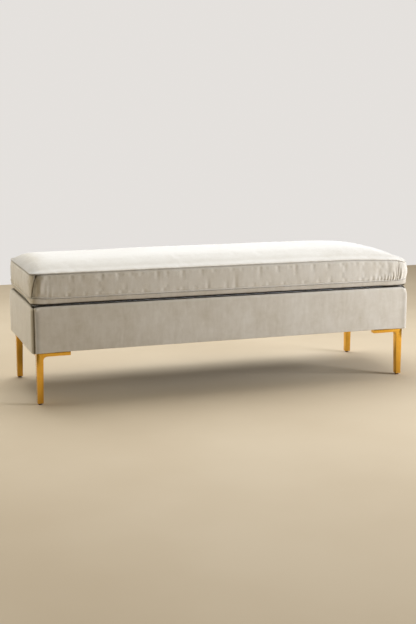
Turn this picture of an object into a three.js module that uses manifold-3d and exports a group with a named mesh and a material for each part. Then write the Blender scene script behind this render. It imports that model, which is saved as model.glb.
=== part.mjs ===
// An upholstered bench: a padded box on four brass legs, with one loose plain-seamed cushion on top.
// Millimetres, +Z up, +X along the length, the front faces -Y, the origin on the floor at the middle.

import * as THREE from 'three';
import { mergeVertices } from 'three/addons/utils/BufferGeometryUtils.js';
import Module from 'manifold-3d';

const wasm = await Module();
wasm.setup();

// The whole bench
const BENCH_LENGTH = 1548;
const BENCH_DEPTH = 508;
const LEG_HEIGHT = 196;
const BASE_HEIGHT = 174;

// What every neighbour keeps to the next, and how far a cutter runs past what it cuts
const CLEARANCE = 0.3;
const OVERRUN = 2;

// Cloth
const FABRIC_THICKNESS = 1.5;
const DUST_CLOTH_THICKNESS = 0.8;

// Base: plan, edges and what the border cloth turns over and under
const BASE_INSET = 2;
const BASE_CORNER_RADIUS = 14;
const BASE_TOP_RADIUS = 10;
const BASE_BOTTOM_RADIUS = 3;
const FLANGE_WIDTH = 36;
const RETURN_WIDTH = 34;
const DUST_CLOTH_INSET = 14;
const PAD_THICKNESS = 10;

// Base: timber and deck
const RAIL_THICKNESS = 22;
const CROSS_RAIL_HEIGHT = 70;
const CROSS_RAIL_SPACING = 500;
const BLOCK_WIDTH = 60;
const BLOCK_HEIGHT = 90;
const DECK_BOARD_THICKNESS = 12;
const DECK_FOAM_THICKNESS = 18;

// Cushion
const CUSHION_CORNER_RADIUS = 28;
const BOXING_HEIGHT = 91;
const BOXING_BULGE = 2.5;
const TOP_CROWN = 44;
const BOTTOM_CROWN = 25;
const CUSHION_DRAW_IN = 4;
const END_DRAW_IN = 3;
const PANEL_DROP = 1.8;
const WRAP_THICKNESS = 12;
const LAYER_CLEARANCE = 0.5;

// How the crowns fall to the seams: powers along the length and across the depth
const TOP_CROWN_POWERS = [16, 4];
const BOTTOM_CROWN_POWERS = [48, 16];

// Rings of the crowned pieces, as shares of the half depth from the seam to the middle
const PANEL_RING_SHARES = [0.024, 0.056, 0.12, 0.24, 0.42, 0.64, 0.86, 0.985];
const LAYER_RING_SHARES = [0.024, 0.056, 0.12, 0.24, 0.42, 0.86];
const RING_ROUND_SHARE = 0.9;
const BOXING_LEVEL_SHARES = [0, 0.2, 0.5, 0.8, 1];

// Zip in the rear wall of the cushion
const ZIP_END_MARGIN = 119;
const ZIP_TAPE_WIDTH = 26;
const ZIP_TAPE_THICKNESS = 0.6;
const ZIP_TAPE_END = 5;
const ZIP_COIL_WIDTH = 6;
const ZIP_COIL_PROUD = 0.3;
const ZIP_COIL_END = 10;
const ZIP_STOP_LENGTH = 3;
const ZIP_STOP_PROUD = 1.2;
const SLIDER_LENGTH = 12;
const SLIDER_WALL = 1.2;
const SLIDER_RIB_WIDTH = 2.4;
const SLIDER_RIB_HEIGHT = 1.2;

// Legs
const LEG_INSET_X = 20.3;
const LEG_INSET_Y = 13;
const ARM_LENGTH = 127;
const ARM_THICKNESS = 15;
const POST_TOP_WIDTH = 25;
const POST_FOOT_WIDTH = 21.5;
const ARM_FILLET_RADIUS = 14;

// Leg screws, at these distances from the leg's outer corner
const SCREW_LENGTH = 35;
const SCREW_TIP_LENGTH = 6;
const SCREW_SHANK_RADIUS = 2.1;
const SCREW_HEAD_RADIUS = 4.4;
const SCREW_HEAD_HEIGHT = 2.6;
const SCREW_DISTANCES = { inner: 55, outer: 105 };

// Levellers: a stud in each post and the foot on it
const FOOT_RADIUS = 7;
const FOOT_HEIGHT = 5.5;
const FOOT_EDGE = 0.8;
const FOOT_SOCKET_DEPTH = 3;
const STUD_RADIUS = 4;
const STUD_LENGTH = 28;
const STUD_EDGE = 0.8;

// Counts of segments
const CORNER_SEGMENTS = 4;
const END_POINTS = 4;
const REAR_END_POINTS = 2;
const ROUND_SEGMENTS = 4;
const FILLET_SEGMENTS = 6;
const SCREW_SIDES = 8;
const STUD_SIDES = 12;
const FOOT_SIDES = 16;

// Colours and finishes
const MATERIALS = {
  velvet: new THREE.MeshStandardMaterial({ color: 0xd8cebd, roughness: 0.85, metalness: 0 }),
  deckCloth: new THREE.MeshStandardMaterial({ color: 0xcfc6b5, roughness: 0.95, metalness: 0 }),
  dustCloth: new THREE.MeshStandardMaterial({ color: 0x1d1c1b, roughness: 0.95, metalness: 0 }),
  foam: new THREE.MeshStandardMaterial({ color: 0xe9e2c6, roughness: 0.95, metalness: 0 }),
  fibre: new THREE.MeshStandardMaterial({ color: 0xf2f1ee, roughness: 1, metalness: 0 }),
  timber: new THREE.MeshStandardMaterial({ color: 0xc9a677, roughness: 0.7, metalness: 0 }),
  board: new THREE.MeshStandardMaterial({ color: 0xd2b68a, roughness: 0.7, metalness: 0 }),
  brass: new THREE.MeshStandardMaterial({ color: 0xd1a24c, roughness: 0.2, metalness: 1 }),
  steel: new THREE.MeshStandardMaterial({ color: 0xb9b9b5, roughness: 0.35, metalness: 1 }),
  zipTape: new THREE.MeshStandardMaterial({ color: 0xcdc3b0, roughness: 0.8, metalness: 0 }),
  footPlastic: new THREE.MeshStandardMaterial({ color: 0x3b2c22, roughness: 0.6, metalness: 0 }),
};

// Heights, from the floor up
const POST_BOTTOM = FOOT_HEIGHT + CLEARANCE;
const ARM_BOTTOM = LEG_HEIGHT - ARM_THICKNESS;
const DUST_CLOTH_BOTTOM = LEG_HEIGHT + CLEARANCE;
const BASE_BOTTOM = DUST_CLOTH_BOTTOM + DUST_CLOTH_THICKNESS + CLEARANCE;
const RAIL_BOTTOM = BASE_BOTTOM + FABRIC_THICKNESS + CLEARANCE;
const BASE_TOP = LEG_HEIGHT + BASE_HEIGHT;
const DECK_FOAM_TOP = BASE_TOP - FABRIC_THICKNESS - CLEARANCE;
const DECK_FOAM_BOTTOM = DECK_FOAM_TOP - DECK_FOAM_THICKNESS;
const DECK_BOARD_TOP = DECK_FOAM_BOTTOM - CLEARANCE;
const DECK_BOARD_BOTTOM = DECK_BOARD_TOP - DECK_BOARD_THICKNESS;
const RAIL_TOP = DECK_BOARD_BOTTOM - CLEARANCE;
const BOTTOM_SEAM = BASE_TOP + CLEARANCE + BOTTOM_CROWN;
const TOP_SEAM = BOTTOM_SEAM + BOXING_HEIGHT;
const ZIP_MIDDLE = (BOTTOM_SEAM + TOP_SEAM) / 2;

// Plan of the base, its padding and its timber
const BASE_HALF_LENGTH = BENCH_LENGTH / 2 - BASE_INSET;
const BASE_HALF_DEPTH = BENCH_DEPTH / 2 - BASE_INSET;
const PAD_OUTER_INSET = FABRIC_THICKNESS + CLEARANCE;
const PAD_INNER_INSET = PAD_OUTER_INSET + PAD_THICKNESS;
const RAIL_INSET = PAD_INNER_INSET + CLEARANCE;
const RAIL_HALF_LENGTH = BASE_HALF_LENGTH - RAIL_INSET;
const RAIL_HALF_DEPTH = BASE_HALF_DEPTH - RAIL_INSET;
const RAIL_INNER_HALF_LENGTH = RAIL_HALF_LENGTH - RAIL_THICKNESS;
const RAIL_INNER_HALF_DEPTH = RAIL_HALF_DEPTH - RAIL_THICKNESS;

// Plan of the cushion at its seams
const SEAM_HALF_LENGTH = BENCH_LENGTH / 2 - BOXING_BULGE;
const SEAM_HALF_DEPTH = BENCH_DEPTH / 2 - BOXING_BULGE;
const SEAM_ARC_X = SEAM_HALF_LENGTH - CUSHION_CORNER_RADIUS;
const SEAM_ARC_Y = SEAM_HALF_DEPTH - CUSHION_CORNER_RADIUS;
const ZIP_HALF_LENGTH = BENCH_LENGTH / 2 - ZIP_END_MARGIN;
const REAR_STRAIGHT_HALF = (ZIP_HALF_LENGTH + SEAM_ARC_X) / 2;
const REAR_PLANE = SEAM_HALF_DEPTH - CUSHION_DRAW_IN;

// Stations along the cushion's front and rear, as shares of the length between its corner arcs
const ZIP_END_SHARE = ZIP_HALF_LENGTH / SEAM_ARC_X;
const STRAIGHT_END_SHARE = REAR_STRAIGHT_HALF / SEAM_ARC_X;
const HALF_STATION_SHARES = [ZIP_END_SHARE / 3, ZIP_END_SHARE / 1.5, ZIP_END_SHARE, STRAIGHT_END_SHARE];
const STATION_SHARES = [
  ...HALF_STATION_SHARES.map((share) => -share).reverse(),
  0,
  ...HALF_STATION_SHARES,
];

// Parts of a count, from 0 to 1, both ends included
function sharesOf(count) {
  return Array.from({ length: count + 1 }, (unused, index) => index / count);
}

// Inner points of a straight stretch, without its ends
function between(from, to, count) {
  return sharesOf(count + 1).slice(1, -1).map((share) => [
    from[0] + (to[0] - from[0]) * share,
    from[1] + (to[1] - from[1]) * share,
  ]);
}

// The corners and sides of a rounded rectangle, counter-clockwise, each a list of points in plan
function roundedRectangle(halfX, halfY, radius, stationShares) {
  const arcX = halfX - radius;
  const arcY = halfY - radius;
  const corner = (centreX, centreY, quarter) => sharesOf(CORNER_SEGMENTS).map((share) => {
    const angle = (quarter + share) * Math.PI / 2;
    return [centreX + radius * Math.cos(angle), centreY + radius * Math.sin(angle)];
  });
  return {
    rearRight: corner(arcX, arcY, 0),
    rear: stationShares.map((share) => [-share * arcX, halfY]),
    rearLeft: corner(-arcX, arcY, 1),
    left: between([-halfX, arcY], [-halfX, -arcY], END_POINTS),
    frontLeft: corner(-arcX, -arcY, 2),
    front: stationShares.map((share) => [share * arcX, -halfY]),
    frontRight: corner(arcX, -arcY, 3),
    right: between([halfX, -arcY], [halfX, arcY], END_POINTS),
  };
}

// The whole ring, from the middle of the left end round the front
function wholeRing(shape) {
  const half = END_POINTS / 2;
  return [
    ...shape.left.slice(half), ...shape.frontLeft, ...shape.front, ...shape.frontRight,
    ...shape.right, ...shape.rearRight, ...shape.rear, ...shape.rearLeft, ...shape.left.slice(0, half),
  ];
}

// Triangles across a closed loop of vertex numbers, paired from its two ends
function acrossLoop(loop) {
  const triangles = [];
  let low = 0;
  let high = loop.length - 1;
  while (high - low >= 2) {
    triangles.push([loop[low], loop[low + 1], loop[high]]);
    low += 1;
    if (high - low >= 2) {
      triangles.push([loop[low], loop[high - 1], loop[high]]);
      high -= 1;
    }
  }
  return triangles;
}

function geometryOf(points, triangles) {
  const geometry = new THREE.BufferGeometry();
  geometry.setAttribute('position', new THREE.Float32BufferAttribute(points.flat(), 3));
  geometry.setIndex(triangles.flat());
  geometry.computeVertexNormals();
  return geometry;
}

// How far a ring reaches along the length
function reachOf(ring) {
  return Math.max(...ring.map(([x]) => x));
}

// A solid through closed rings, with its first and last ring filled. Faces split the same way whether the
// rings grow or shrink, so one layer's top and the next one's underside run side by side.
function loft(rings) {
  const size = rings[0].length;
  const number = (ring, index) => ring * size + (index % size);
  const triangles = [];
  for (let ring = 0; ring + 1 < rings.length; ring += 1) {
    const grows = reachOf(rings[ring + 1]) > reachOf(rings[ring]);
    for (let index = 0; index < size; index += 1) {
      const a = number(ring, index);
      const b = number(ring, index + 1);
      const c = number(ring + 1, index + 1);
      const d = number(ring + 1, index);
      triangles.push(...(grows ? [[a, b, d], [b, c, d]] : [[a, b, c], [a, c, d]]));
    }
  }
  const first = rings[0].map((unused, index) => index);
  const last = first.map((index) => number(rings.length - 1, index));
  const firstFaces = acrossLoop(first).map((triangle) => triangle.reverse());
  triangles.push(...firstFaces, ...acrossLoop(last));
  return geometryOf(rings.flat(), triangles);
}

// A wall that follows an open path: each line runs along it, and the lines go once round its section
function wallAlong(lines) {
  const size = lines[0].length;
  const number = (line, index) => (line % lines.length) * size + index;
  const triangles = [];
  for (let line = 0; line < lines.length; line += 1) {
    for (let index = 0; index + 1 < size; index += 1) {
      const a = number(line, index);
      const b = number(line, index + 1);
      const c = number(line + 1, index + 1);
      const d = number(line + 1, index);
      triangles.push([a, b, c], [a, c, d]);
    }
  }
  const start = lines.map((unused, line) => number(line, 0));
  const end = lines.map((unused, line) => number(line, size - 1));
  triangles.push(...acrossLoop(start), ...acrossLoop([...end].reverse()));
  return geometryOf(lines.flat(), triangles);
}

// The same faces with shared vertices, none of them collapsed
function welded(geometry) {
  const bare = geometry.clone();
  bare.deleteAttribute('normal');
  bare.deleteAttribute('uv');
  const merged = mergeVertices(bare);
  const index = Array.from(merged.index.array);
  const kept = [];
  for (let at = 0; at < index.length; at += 3) {
    const [a, b, c] = index.slice(at, at + 3);
    if (a !== b && b !== c && c !== a) kept.push(a, b, c);
  }
  merged.setIndex(kept);
  merged.computeVertexNormals();
  return merged;
}

function solidOf(geometry) {
  const shared = welded(geometry);
  return new wasm.Manifold(new wasm.Mesh({
    numProp: 3,
    vertProperties: new Float32Array(shared.attributes.position.array),
    triVerts: new Uint32Array(shared.index.array),
  }));
}

function geometryOfSolid(solid) {
  const mesh = solid.getMesh();
  const geometry = new THREE.BufferGeometry();
  geometry.setAttribute('position', new THREE.BufferAttribute(mesh.vertProperties, 3));
  geometry.setIndex(new THREE.BufferAttribute(mesh.triVerts, 1));
  geometry.computeVertexNormals();
  return geometry;
}

function cutBy(geometry, cutters) {
  const solid = cutters.reduce((left, cutter) => left.subtract(solidOf(cutter)), solidOf(geometry));
  return geometryOfSolid(solid);
}

// A box from its lowest to its highest corner
function block(low, high) {
  const size = high.map((value, axis) => value - low[axis]);
  const geometry = new THREE.BoxGeometry(...size);
  geometry.translate(...low.map((value, axis) => value + size[axis] / 2));
  return geometry;
}

// An outline extruded along +Z
function plate(outline, height) {
  const shape = new THREE.Shape(outline.map(([x, y]) => new THREE.Vector2(x, y)));
  return new THREE.ExtrudeGeometry(shape, { depth: height, bevelEnabled: false });
}

// A turned piece on the Z axis, from its profile of radius and height, bottom first
function turned(profile, sides) {
  const points = profile.map(([radius, height]) => new THREE.Vector2(radius, height));
  const geometry = new THREE.LatheGeometry(points, sides);
  geometry.rotateX(Math.PI / 2);
  return welded(geometry);
}

function piece(name, geometry, material) {
  const mesh = new THREE.Mesh(geometry, material.clone());
  mesh.name = name;
  return mesh;
}

// Cushion: how far a point of its plan is drawn in, straight along the zip and bowed elsewhere
function rearStraightness(x) {
  return 1 - THREE.MathUtils.smoothstep(Math.abs(x), REAR_STRAIGHT_HALF, SEAM_ARC_X);
}

function drawnIn([x, y]) {
  const frontBow = Math.max(0, 1 - (x / SEAM_ARC_X) ** 2);
  const endBow = Math.max(0, 1 - (y / SEAM_ARC_Y) ** 2);
  const bow = y > 0 ? rearStraightness(x) : frontBow;
  return [
    x * (1 - END_DRAW_IN * endBow / SEAM_HALF_LENGTH),
    y * (1 - CUSHION_DRAW_IN * bow / SEAM_HALF_DEPTH),
  ];
}

// How much of the crown stands at a point of the plan
function crownAt([x, y], powers) {
  const along = Math.min(1, Math.abs(x) / SEAM_HALF_LENGTH) ** powers[0];
  const across = Math.min(1, Math.abs(y) / SEAM_HALF_DEPTH) ** powers[1];
  return (1 - along) * (1 - across);
}

// A ring of the cushion's plan, inset from the seam
function cushionPlan(inset, stationShares = STATION_SHARES) {
  const halfX = SEAM_HALF_LENGTH - inset;
  const halfY = SEAM_HALF_DEPTH - inset;
  const radius = Math.min(CUSHION_CORNER_RADIUS, RING_ROUND_SHARE * halfY);
  return roundedRectangle(halfX, halfY, radius, stationShares);
}

function flatRing(inset, z) {
  return wholeRing(cushionPlan(inset)).map((point) => [...drawnIn(point), z]);
}

function crownedRing(inset, seamZ, crown, powers) {
  return wholeRing(cushionPlan(inset)).map((point) => (
    [...drawnIn(point), seamZ + crown * crownAt(point, powers)]
  ));
}

function crownedRings(shares, seamZ, crown, powers) {
  return shares.map((share) => crownedRing(share * SEAM_HALF_DEPTH, seamZ, crown, powers));
}

// The crowned top, a shell of cloth whose rim lies on the top seam
function topPanel() {
  const rim = TOP_SEAM + CLEARANCE / 2;
  const outside = crownedRings(PANEL_RING_SHARES, rim, TOP_CROWN, TOP_CROWN_POWERS);
  const inside = crownedRings(PANEL_RING_SHARES, rim - PANEL_DROP, TOP_CROWN, TOP_CROWN_POWERS);
  const edge = [flatRing(FABRIC_THICKNESS, rim), flatRing(0, rim)];
  return loft([...inside.reverse(), ...edge, ...outside]);
}

// The bottom, crowned downwards and flat where it rests on the deck
function bottomPanel() {
  const rim = BOTTOM_SEAM - CLEARANCE / 2;
  const outside = crownedRings(PANEL_RING_SHARES, rim, CLEARANCE / 2 - BOTTOM_CROWN, BOTTOM_CROWN_POWERS);
  const inside = crownedRings(
    PANEL_RING_SHARES, rim + PANEL_DROP, CLEARANCE / 2 - BOTTOM_CROWN, BOTTOM_CROWN_POWERS,
  );
  const edge = [flatRing(0, rim), flatRing(FABRIC_THICKNESS, rim)];
  return loft([...outside.reverse(), ...edge, ...inside]);
}

// Surfaces inside the panels, each a stated depth below the panel's outside
function underTop(depth) {
  return crownedRings(LAYER_RING_SHARES, TOP_SEAM - depth, TOP_CROWN, TOP_CROWN_POWERS);
}

function aboveBottom(depth) {
  return crownedRings(LAYER_RING_SHARES, BOTTOM_SEAM + depth, -BOTTOM_CROWN, BOTTOM_CROWN_POWERS);
}

const WRAP_OUTER_DEPTH = PANEL_DROP + LAYER_CLEARANCE;
const WRAP_INNER_DEPTH = WRAP_OUTER_DEPTH + WRAP_THICKNESS;
const FOAM_DEPTH = WRAP_INNER_DEPTH + LAYER_CLEARANCE;

function foamCore() {
  return loft([...aboveBottom(FOAM_DEPTH).reverse(), ...underTop(FOAM_DEPTH)]);
}

function wrapTop() {
  return loft([...underTop(WRAP_INNER_DEPTH).reverse(), ...underTop(WRAP_OUTER_DEPTH)]);
}

function wrapBottom() {
  return loft([...aboveBottom(WRAP_OUTER_DEPTH).reverse(), ...aboveBottom(WRAP_INNER_DEPTH)]);
}

// The wall round the front, the ends and the rear corners, as far as the zip: behind each corner it holds the
// stations where the rear begins to run straight and where the zip ends
function boxing() {
  const line = (inset, levelShare) => {
    const stationShares = STATION_SHARES.map((share) => share * SEAM_ARC_X / (SEAM_ARC_X - inset));
    const shape = cushionPlan(inset, stationShares);
    const stop = REAR_END_POINTS;
    const path = [
      ...shape.rear.slice(-stop), ...shape.rearLeft, ...shape.left, ...shape.frontLeft, ...shape.front,
      ...shape.frontRight, ...shape.right, ...shape.rearRight, ...shape.rear.slice(0, stop),
    ];
    const swell = 4 * levelShare * (1 - levelShare) * BOXING_BULGE;
    const low = BOTTOM_SEAM + CLEARANCE / 2;
    const z = low + (BOXING_HEIGHT - CLEARANCE) * levelShare;
    return path.map((point) => [...swollen(drawnIn(point), swell), z]);
  };
  const outside = BOXING_LEVEL_SHARES.map((share) => line(0, share));
  const inside = BOXING_LEVEL_SHARES.map((share) => line(FABRIC_THICKNESS, share)).reverse();
  return wallAlong([...outside, ...inside]);
}

// A wall point moved out by the boxing's bulge, which dies away along the zip
function swollen([x, y], swell) {
  const quiet = y > 0 ? 1 - rearStraightness(x) : 1;
  const outX = Math.max(0, Math.abs(x) - SEAM_ARC_X);
  const outY = Math.max(0, Math.abs(y) - SEAM_ARC_Y);
  const reach = Math.hypot(outX, outY) || 1;
  const step = swell * (outX > outY ? 1 : quiet);
  return [x + Math.sign(x) * step * outX / reach, y + Math.sign(y) * step * outY / reach];
}

// The strips above and below the zip, flat between the boxing's rear ends
const ZIP_OPENING_HALF = ZIP_COIL_WIDTH / 2 + SLIDER_WALL + 2 * CLEARANCE;

function zipStrip(lowZ, highZ) {
  const half = ZIP_HALF_LENGTH - CLEARANCE;
  return block([-half, REAR_PLANE - FABRIC_THICKNESS, lowZ], [half, REAR_PLANE, highZ]);
}

// The closed zip: its tape behind the strips, the coil between them and a stop at each end
const TAPE_FRONT = REAR_PLANE - FABRIC_THICKNESS - CLEARANCE;
const TAPE_BACK = TAPE_FRONT - ZIP_TAPE_THICKNESS;
const COIL_FRONT = REAR_PLANE + ZIP_COIL_PROUD;
const COIL_HALF_LENGTH = ZIP_HALF_LENGTH - ZIP_COIL_END;

function zipChain() {
  const tapeHalf = ZIP_HALF_LENGTH - ZIP_TAPE_END;
  const coilHalf = ZIP_COIL_WIDTH / 2;
  const tape = block(
    [-tapeHalf, TAPE_BACK, ZIP_MIDDLE - ZIP_TAPE_WIDTH / 2],
    [tapeHalf, TAPE_FRONT, ZIP_MIDDLE + ZIP_TAPE_WIDTH / 2],
  );
  const coil = block(
    [-COIL_HALF_LENGTH, TAPE_BACK, ZIP_MIDDLE - coilHalf],
    [COIL_HALF_LENGTH, COIL_FRONT, ZIP_MIDDLE + coilHalf],
  );
  const stops = [-1, 1].map((side) => {
    const outer = side * COIL_HALF_LENGTH;
    const inner = side * (COIL_HALF_LENGTH - ZIP_STOP_LENGTH);
    return block(
      [Math.min(outer, inner), TAPE_BACK, ZIP_MIDDLE - coilHalf],
      [Math.max(outer, inner), COIL_FRONT + ZIP_STOP_PROUD, ZIP_MIDDLE + coilHalf],
    );
  });
  const solid = [coil, ...stops].reduce((left, other) => left.add(solidOf(other)), solidOf(tape));
  return geometryOfSolid(solid);
}

// The slider, a channel over the coil with a rib on its back, at the left stop when the zip is shut
function zipSlider() {
  const inner = ZIP_COIL_WIDTH / 2 + CLEARANCE;
  const outer = inner + SLIDER_WALL;
  const lip = TAPE_FRONT + CLEARANCE;
  const roof = COIL_FRONT + CLEARANCE;
  const back = roof + SLIDER_WALL;
  const rib = SLIDER_RIB_WIDTH / 2;
  const outline = [
    [-outer, lip], [-inner, lip], [-inner, roof], [inner, roof], [inner, lip], [outer, lip],
    [outer, back], [rib, back], [rib, back + SLIDER_RIB_HEIGHT], [-rib, back + SLIDER_RIB_HEIGHT],
    [-rib, back], [-outer, back],
  ];
  const geometry = plate(outline, SLIDER_LENGTH);
  const toRear = new THREE.Matrix4().makeBasis(
    new THREE.Vector3(0, 0, 1), new THREE.Vector3(0, 1, 0), new THREE.Vector3(-1, 0, 0),
  );
  geometry.applyMatrix4(toRear);
  const start = ZIP_STOP_LENGTH + CLEARANCE + SLIDER_LENGTH - COIL_HALF_LENGTH;
  geometry.translate(start, 0, ZIP_MIDDLE);
  return geometry;
}

// Base: the border's curve in section, a depth inside its outer face, as inset, height and plan radius
function borderCurve(depth) {
  const cornerRadius = (inset) => Math.max(BASE_CORNER_RADIUS - inset, CLEARANCE);
  const quarter = (centreZ, radius, start) => sharesOf(ROUND_SEGMENTS).map((share) => {
    const angle = (start + share) * Math.PI / 2;
    const reach = radius - depth;
    const inset = radius - reach * Math.sin(angle);
    return { inset, z: centreZ - reach * Math.cos(angle), radius: cornerRadius(inset) };
  });
  return [
    ...quarter(BASE_BOTTOM + BASE_BOTTOM_RADIUS, BASE_BOTTOM_RADIUS, 0),
    ...quarter(BASE_TOP - BASE_TOP_RADIUS, BASE_TOP_RADIUS, 1),
  ];
}

// The path of one side of the base, from the middle of one corner to the middle of the next
function sidePath(side, inset, radius) {
  const shift = CLEARANCE / Math.SQRT2;
  const lengthwise = side === 'front' || side === 'rear';
  const halfX = BASE_HALF_LENGTH - inset - (lengthwise ? shift : 0);
  const halfY = BASE_HALF_DEPTH - inset - (lengthwise ? 0 : shift);
  const shape = roundedRectangle(halfX, halfY, radius, []);
  const [from, to] = {
    front: ['frontLeft', 'frontRight'],
    right: ['frontRight', 'rearRight'],
    rear: ['rearRight', 'rearLeft'],
    left: ['rearLeft', 'frontLeft'],
  }[side];
  const middle = CORNER_SEGMENTS / 2;
  return [...shape[from].slice(middle), ...shape[to].slice(0, middle + 1)];
}

function borderWall(side, section) {
  return wallAlong(section.map(({ inset, z, radius }) => (
    sidePath(side, inset, radius).map((point) => [...point, z])
  )));
}

function borderCover(side) {
  const sheet = (depth) => [
    { inset: FLANGE_WIDTH, z: BASE_BOTTOM + depth, radius: CLEARANCE },
    ...borderCurve(depth),
    { inset: RETURN_WIDTH, z: BASE_TOP - depth, radius: CLEARANCE },
  ];
  return borderWall(side, [...sheet(0), ...sheet(FABRIC_THICKNESS).reverse()]);
}

function borderPad(side) {
  const inner = (z) => ({ inset: PAD_INNER_INSET, z, radius: CLEARANCE });
  const section = [...borderCurve(PAD_OUTER_INSET), inner(DECK_FOAM_TOP), inner(RAIL_BOTTOM)];
  return borderWall(side, section);
}

function railBetween(low, high) {
  return block([...low, RAIL_BOTTOM], [...high, RAIL_TOP]);
}

// Front and rear rails run the whole length, and the end rails stand between them
function rails() {
  const endHalfDepth = RAIL_INNER_HALF_DEPTH - CLEARANCE;
  return {
    front: railBetween([-RAIL_HALF_LENGTH, -RAIL_HALF_DEPTH], [RAIL_HALF_LENGTH, -RAIL_INNER_HALF_DEPTH]),
    rear: railBetween([-RAIL_HALF_LENGTH, RAIL_INNER_HALF_DEPTH], [RAIL_HALF_LENGTH, RAIL_HALF_DEPTH]),
    left: railBetween([-RAIL_HALF_LENGTH, -endHalfDepth], [-RAIL_INNER_HALF_LENGTH, endHalfDepth]),
    right: railBetween([RAIL_INNER_HALF_LENGTH, -endHalfDepth], [RAIL_HALF_LENGTH, endHalfDepth]),
  };
}

function crossRail() {
  const halfDepth = RAIL_INNER_HALF_DEPTH - CLEARANCE;
  return new THREE.BoxGeometry(RAIL_THICKNESS, 2 * halfDepth, CROSS_RAIL_HEIGHT);
}

function cornerBlock() {
  return plate([[0, 0], [BLOCK_WIDTH, 0], [0, BLOCK_WIDTH]], BLOCK_HEIGHT);
}

function dustCloth() {
  const halfX = BASE_HALF_LENGTH - DUST_CLOTH_INSET;
  const halfY = BASE_HALF_DEPTH - DUST_CLOTH_INSET;
  const top = DUST_CLOTH_BOTTOM + DUST_CLOTH_THICKNESS;
  return block([-halfX, -halfY, DUST_CLOTH_BOTTOM], [halfX, halfY, top]);
}

function deckLayer(halfX, halfY, low, high) {
  return block([-halfX, -halfY, low], [halfX, halfY, high]);
}

// Leg, drawn with its outer corner on the Z axis and an arm along +X and one along +Y
function legSide() {
  const filletX = POST_TOP_WIDTH + ARM_FILLET_RADIUS;
  const filletZ = ARM_BOTTOM - ARM_FILLET_RADIUS;
  const fillet = sharesOf(FILLET_SEGMENTS).map((share) => {
    const angle = share * Math.PI / 2;
    return [filletX - ARM_FILLET_RADIUS * Math.sin(angle), filletZ + ARM_FILLET_RADIUS * Math.cos(angle)];
  });
  return [
    [0, POST_BOTTOM], [0, LEG_HEIGHT], [ARM_LENGTH, LEG_HEIGHT], [ARM_LENGTH, ARM_BOTTOM],
    ...fillet, [POST_FOOT_WIDTH, POST_BOTTOM],
  ].reverse();
}

function legSolid() {
  const wide = ARM_LENGTH + OVERRUN;
  const alongX = plate(legSide(), wide);
  alongX.rotateX(Math.PI / 2);
  alongX.translate(0, ARM_LENGTH, 0);
  const alongY = alongX.clone();
  alongY.rotateZ(Math.PI / 2);
  alongY.translate(ARM_LENGTH, 0, 0);
  const plan = plate([
    [0, 0], [ARM_LENGTH, 0], [ARM_LENGTH, POST_TOP_WIDTH], [POST_TOP_WIDTH, POST_TOP_WIDTH],
    [POST_TOP_WIDTH, ARM_LENGTH], [0, ARM_LENGTH],
  ], LEG_HEIGHT + OVERRUN);
  return solidOf(alongX).intersect(solidOf(alongY)).intersect(solidOf(plan));
}

// Where the four screws of a leg stand, two in each arm. A leg turned by an odd number of quarters has its
// first arm under the bench's end, and the others have it under the front or rear.
function screwPlaces(turns = 0) {
  const [firstArm, secondArm] = turns % 2 === 0 ? ['side', 'end'] : ['end', 'side'];
  const middle = POST_TOP_WIDTH / 2;
  return Object.entries(SCREW_DISTANCES).flatMap(([place, distance]) => [
    { name: `${firstArm}_${place}`, x: distance, y: middle },
    { name: `${secondArm}_${place}`, x: middle, y: distance },
  ]);
}

function screw() {
  return turned([
    [0, 0], [SCREW_HEAD_RADIUS, 0], [SCREW_SHANK_RADIUS, SCREW_HEAD_HEIGHT],
    [SCREW_SHANK_RADIUS, SCREW_LENGTH - SCREW_TIP_LENGTH], [0, SCREW_LENGTH],
  ], SCREW_SIDES);
}

// The room that a screw needs, which cuts the arm, the cloths and the rail
function screwRoom() {
  const head = SCREW_HEAD_RADIUS + CLEARANCE;
  const shank = SCREW_SHANK_RADIUS + CLEARANCE;
  const top = SCREW_LENGTH + CLEARANCE;
  return turned([[0, -OVERRUN], [head, -OVERRUN], [head, 0], [shank, SCREW_HEAD_HEIGHT], [shank, top], [0, top]],
    SCREW_SIDES);
}

const STUD_BOTTOM = FOOT_HEIGHT - FOOT_SOCKET_DEPTH + CLEARANCE;
const STUD_TOP = STUD_BOTTOM + STUD_LENGTH;
const LEVELLER_PLACE = POST_FOOT_WIDTH / 2;

function studRoom() {
  const radius = STUD_RADIUS + CLEARANCE;
  const top = STUD_TOP + CLEARANCE;
  const low = POST_BOTTOM - OVERRUN;
  const geometry = turned([[0, low], [radius, low], [radius, top], [0, top]], STUD_SIDES);
  geometry.translate(LEVELLER_PLACE, LEVELLER_PLACE, 0);
  return geometry;
}

function stud() {
  const neck = STUD_RADIUS - STUD_EDGE;
  return turned([
    [0, STUD_BOTTOM], [neck, STUD_BOTTOM], [STUD_RADIUS, STUD_BOTTOM + STUD_EDGE],
    [STUD_RADIUS, STUD_TOP - STUD_EDGE], [neck, STUD_TOP], [0, STUD_TOP],
  ], STUD_SIDES);
}

function foot() {
  const socket = STUD_RADIUS + CLEARANCE;
  const socketBottom = FOOT_HEIGHT - FOOT_SOCKET_DEPTH;
  return turned([
    [0, 0], [FOOT_RADIUS - FOOT_EDGE, 0], [FOOT_RADIUS, FOOT_EDGE], [FOOT_RADIUS, FOOT_HEIGHT - FOOT_EDGE],
    [FOOT_RADIUS - FOOT_EDGE, FOOT_HEIGHT], [socket, FOOT_HEIGHT], [socket, socketBottom], [0, socketBottom],
  ], FOOT_SIDES);
}

// One group per leg: the leg, its screws and its leveller, turned to its own corner
const CORNERS = [
  { name: 'front_left', sideX: -1, sideY: -1 },
  { name: 'front_right', sideX: 1, sideY: -1 },
  { name: 'rear_right', sideX: 1, sideY: 1 },
  { name: 'rear_left', sideX: -1, sideY: 1 },
];

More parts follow.
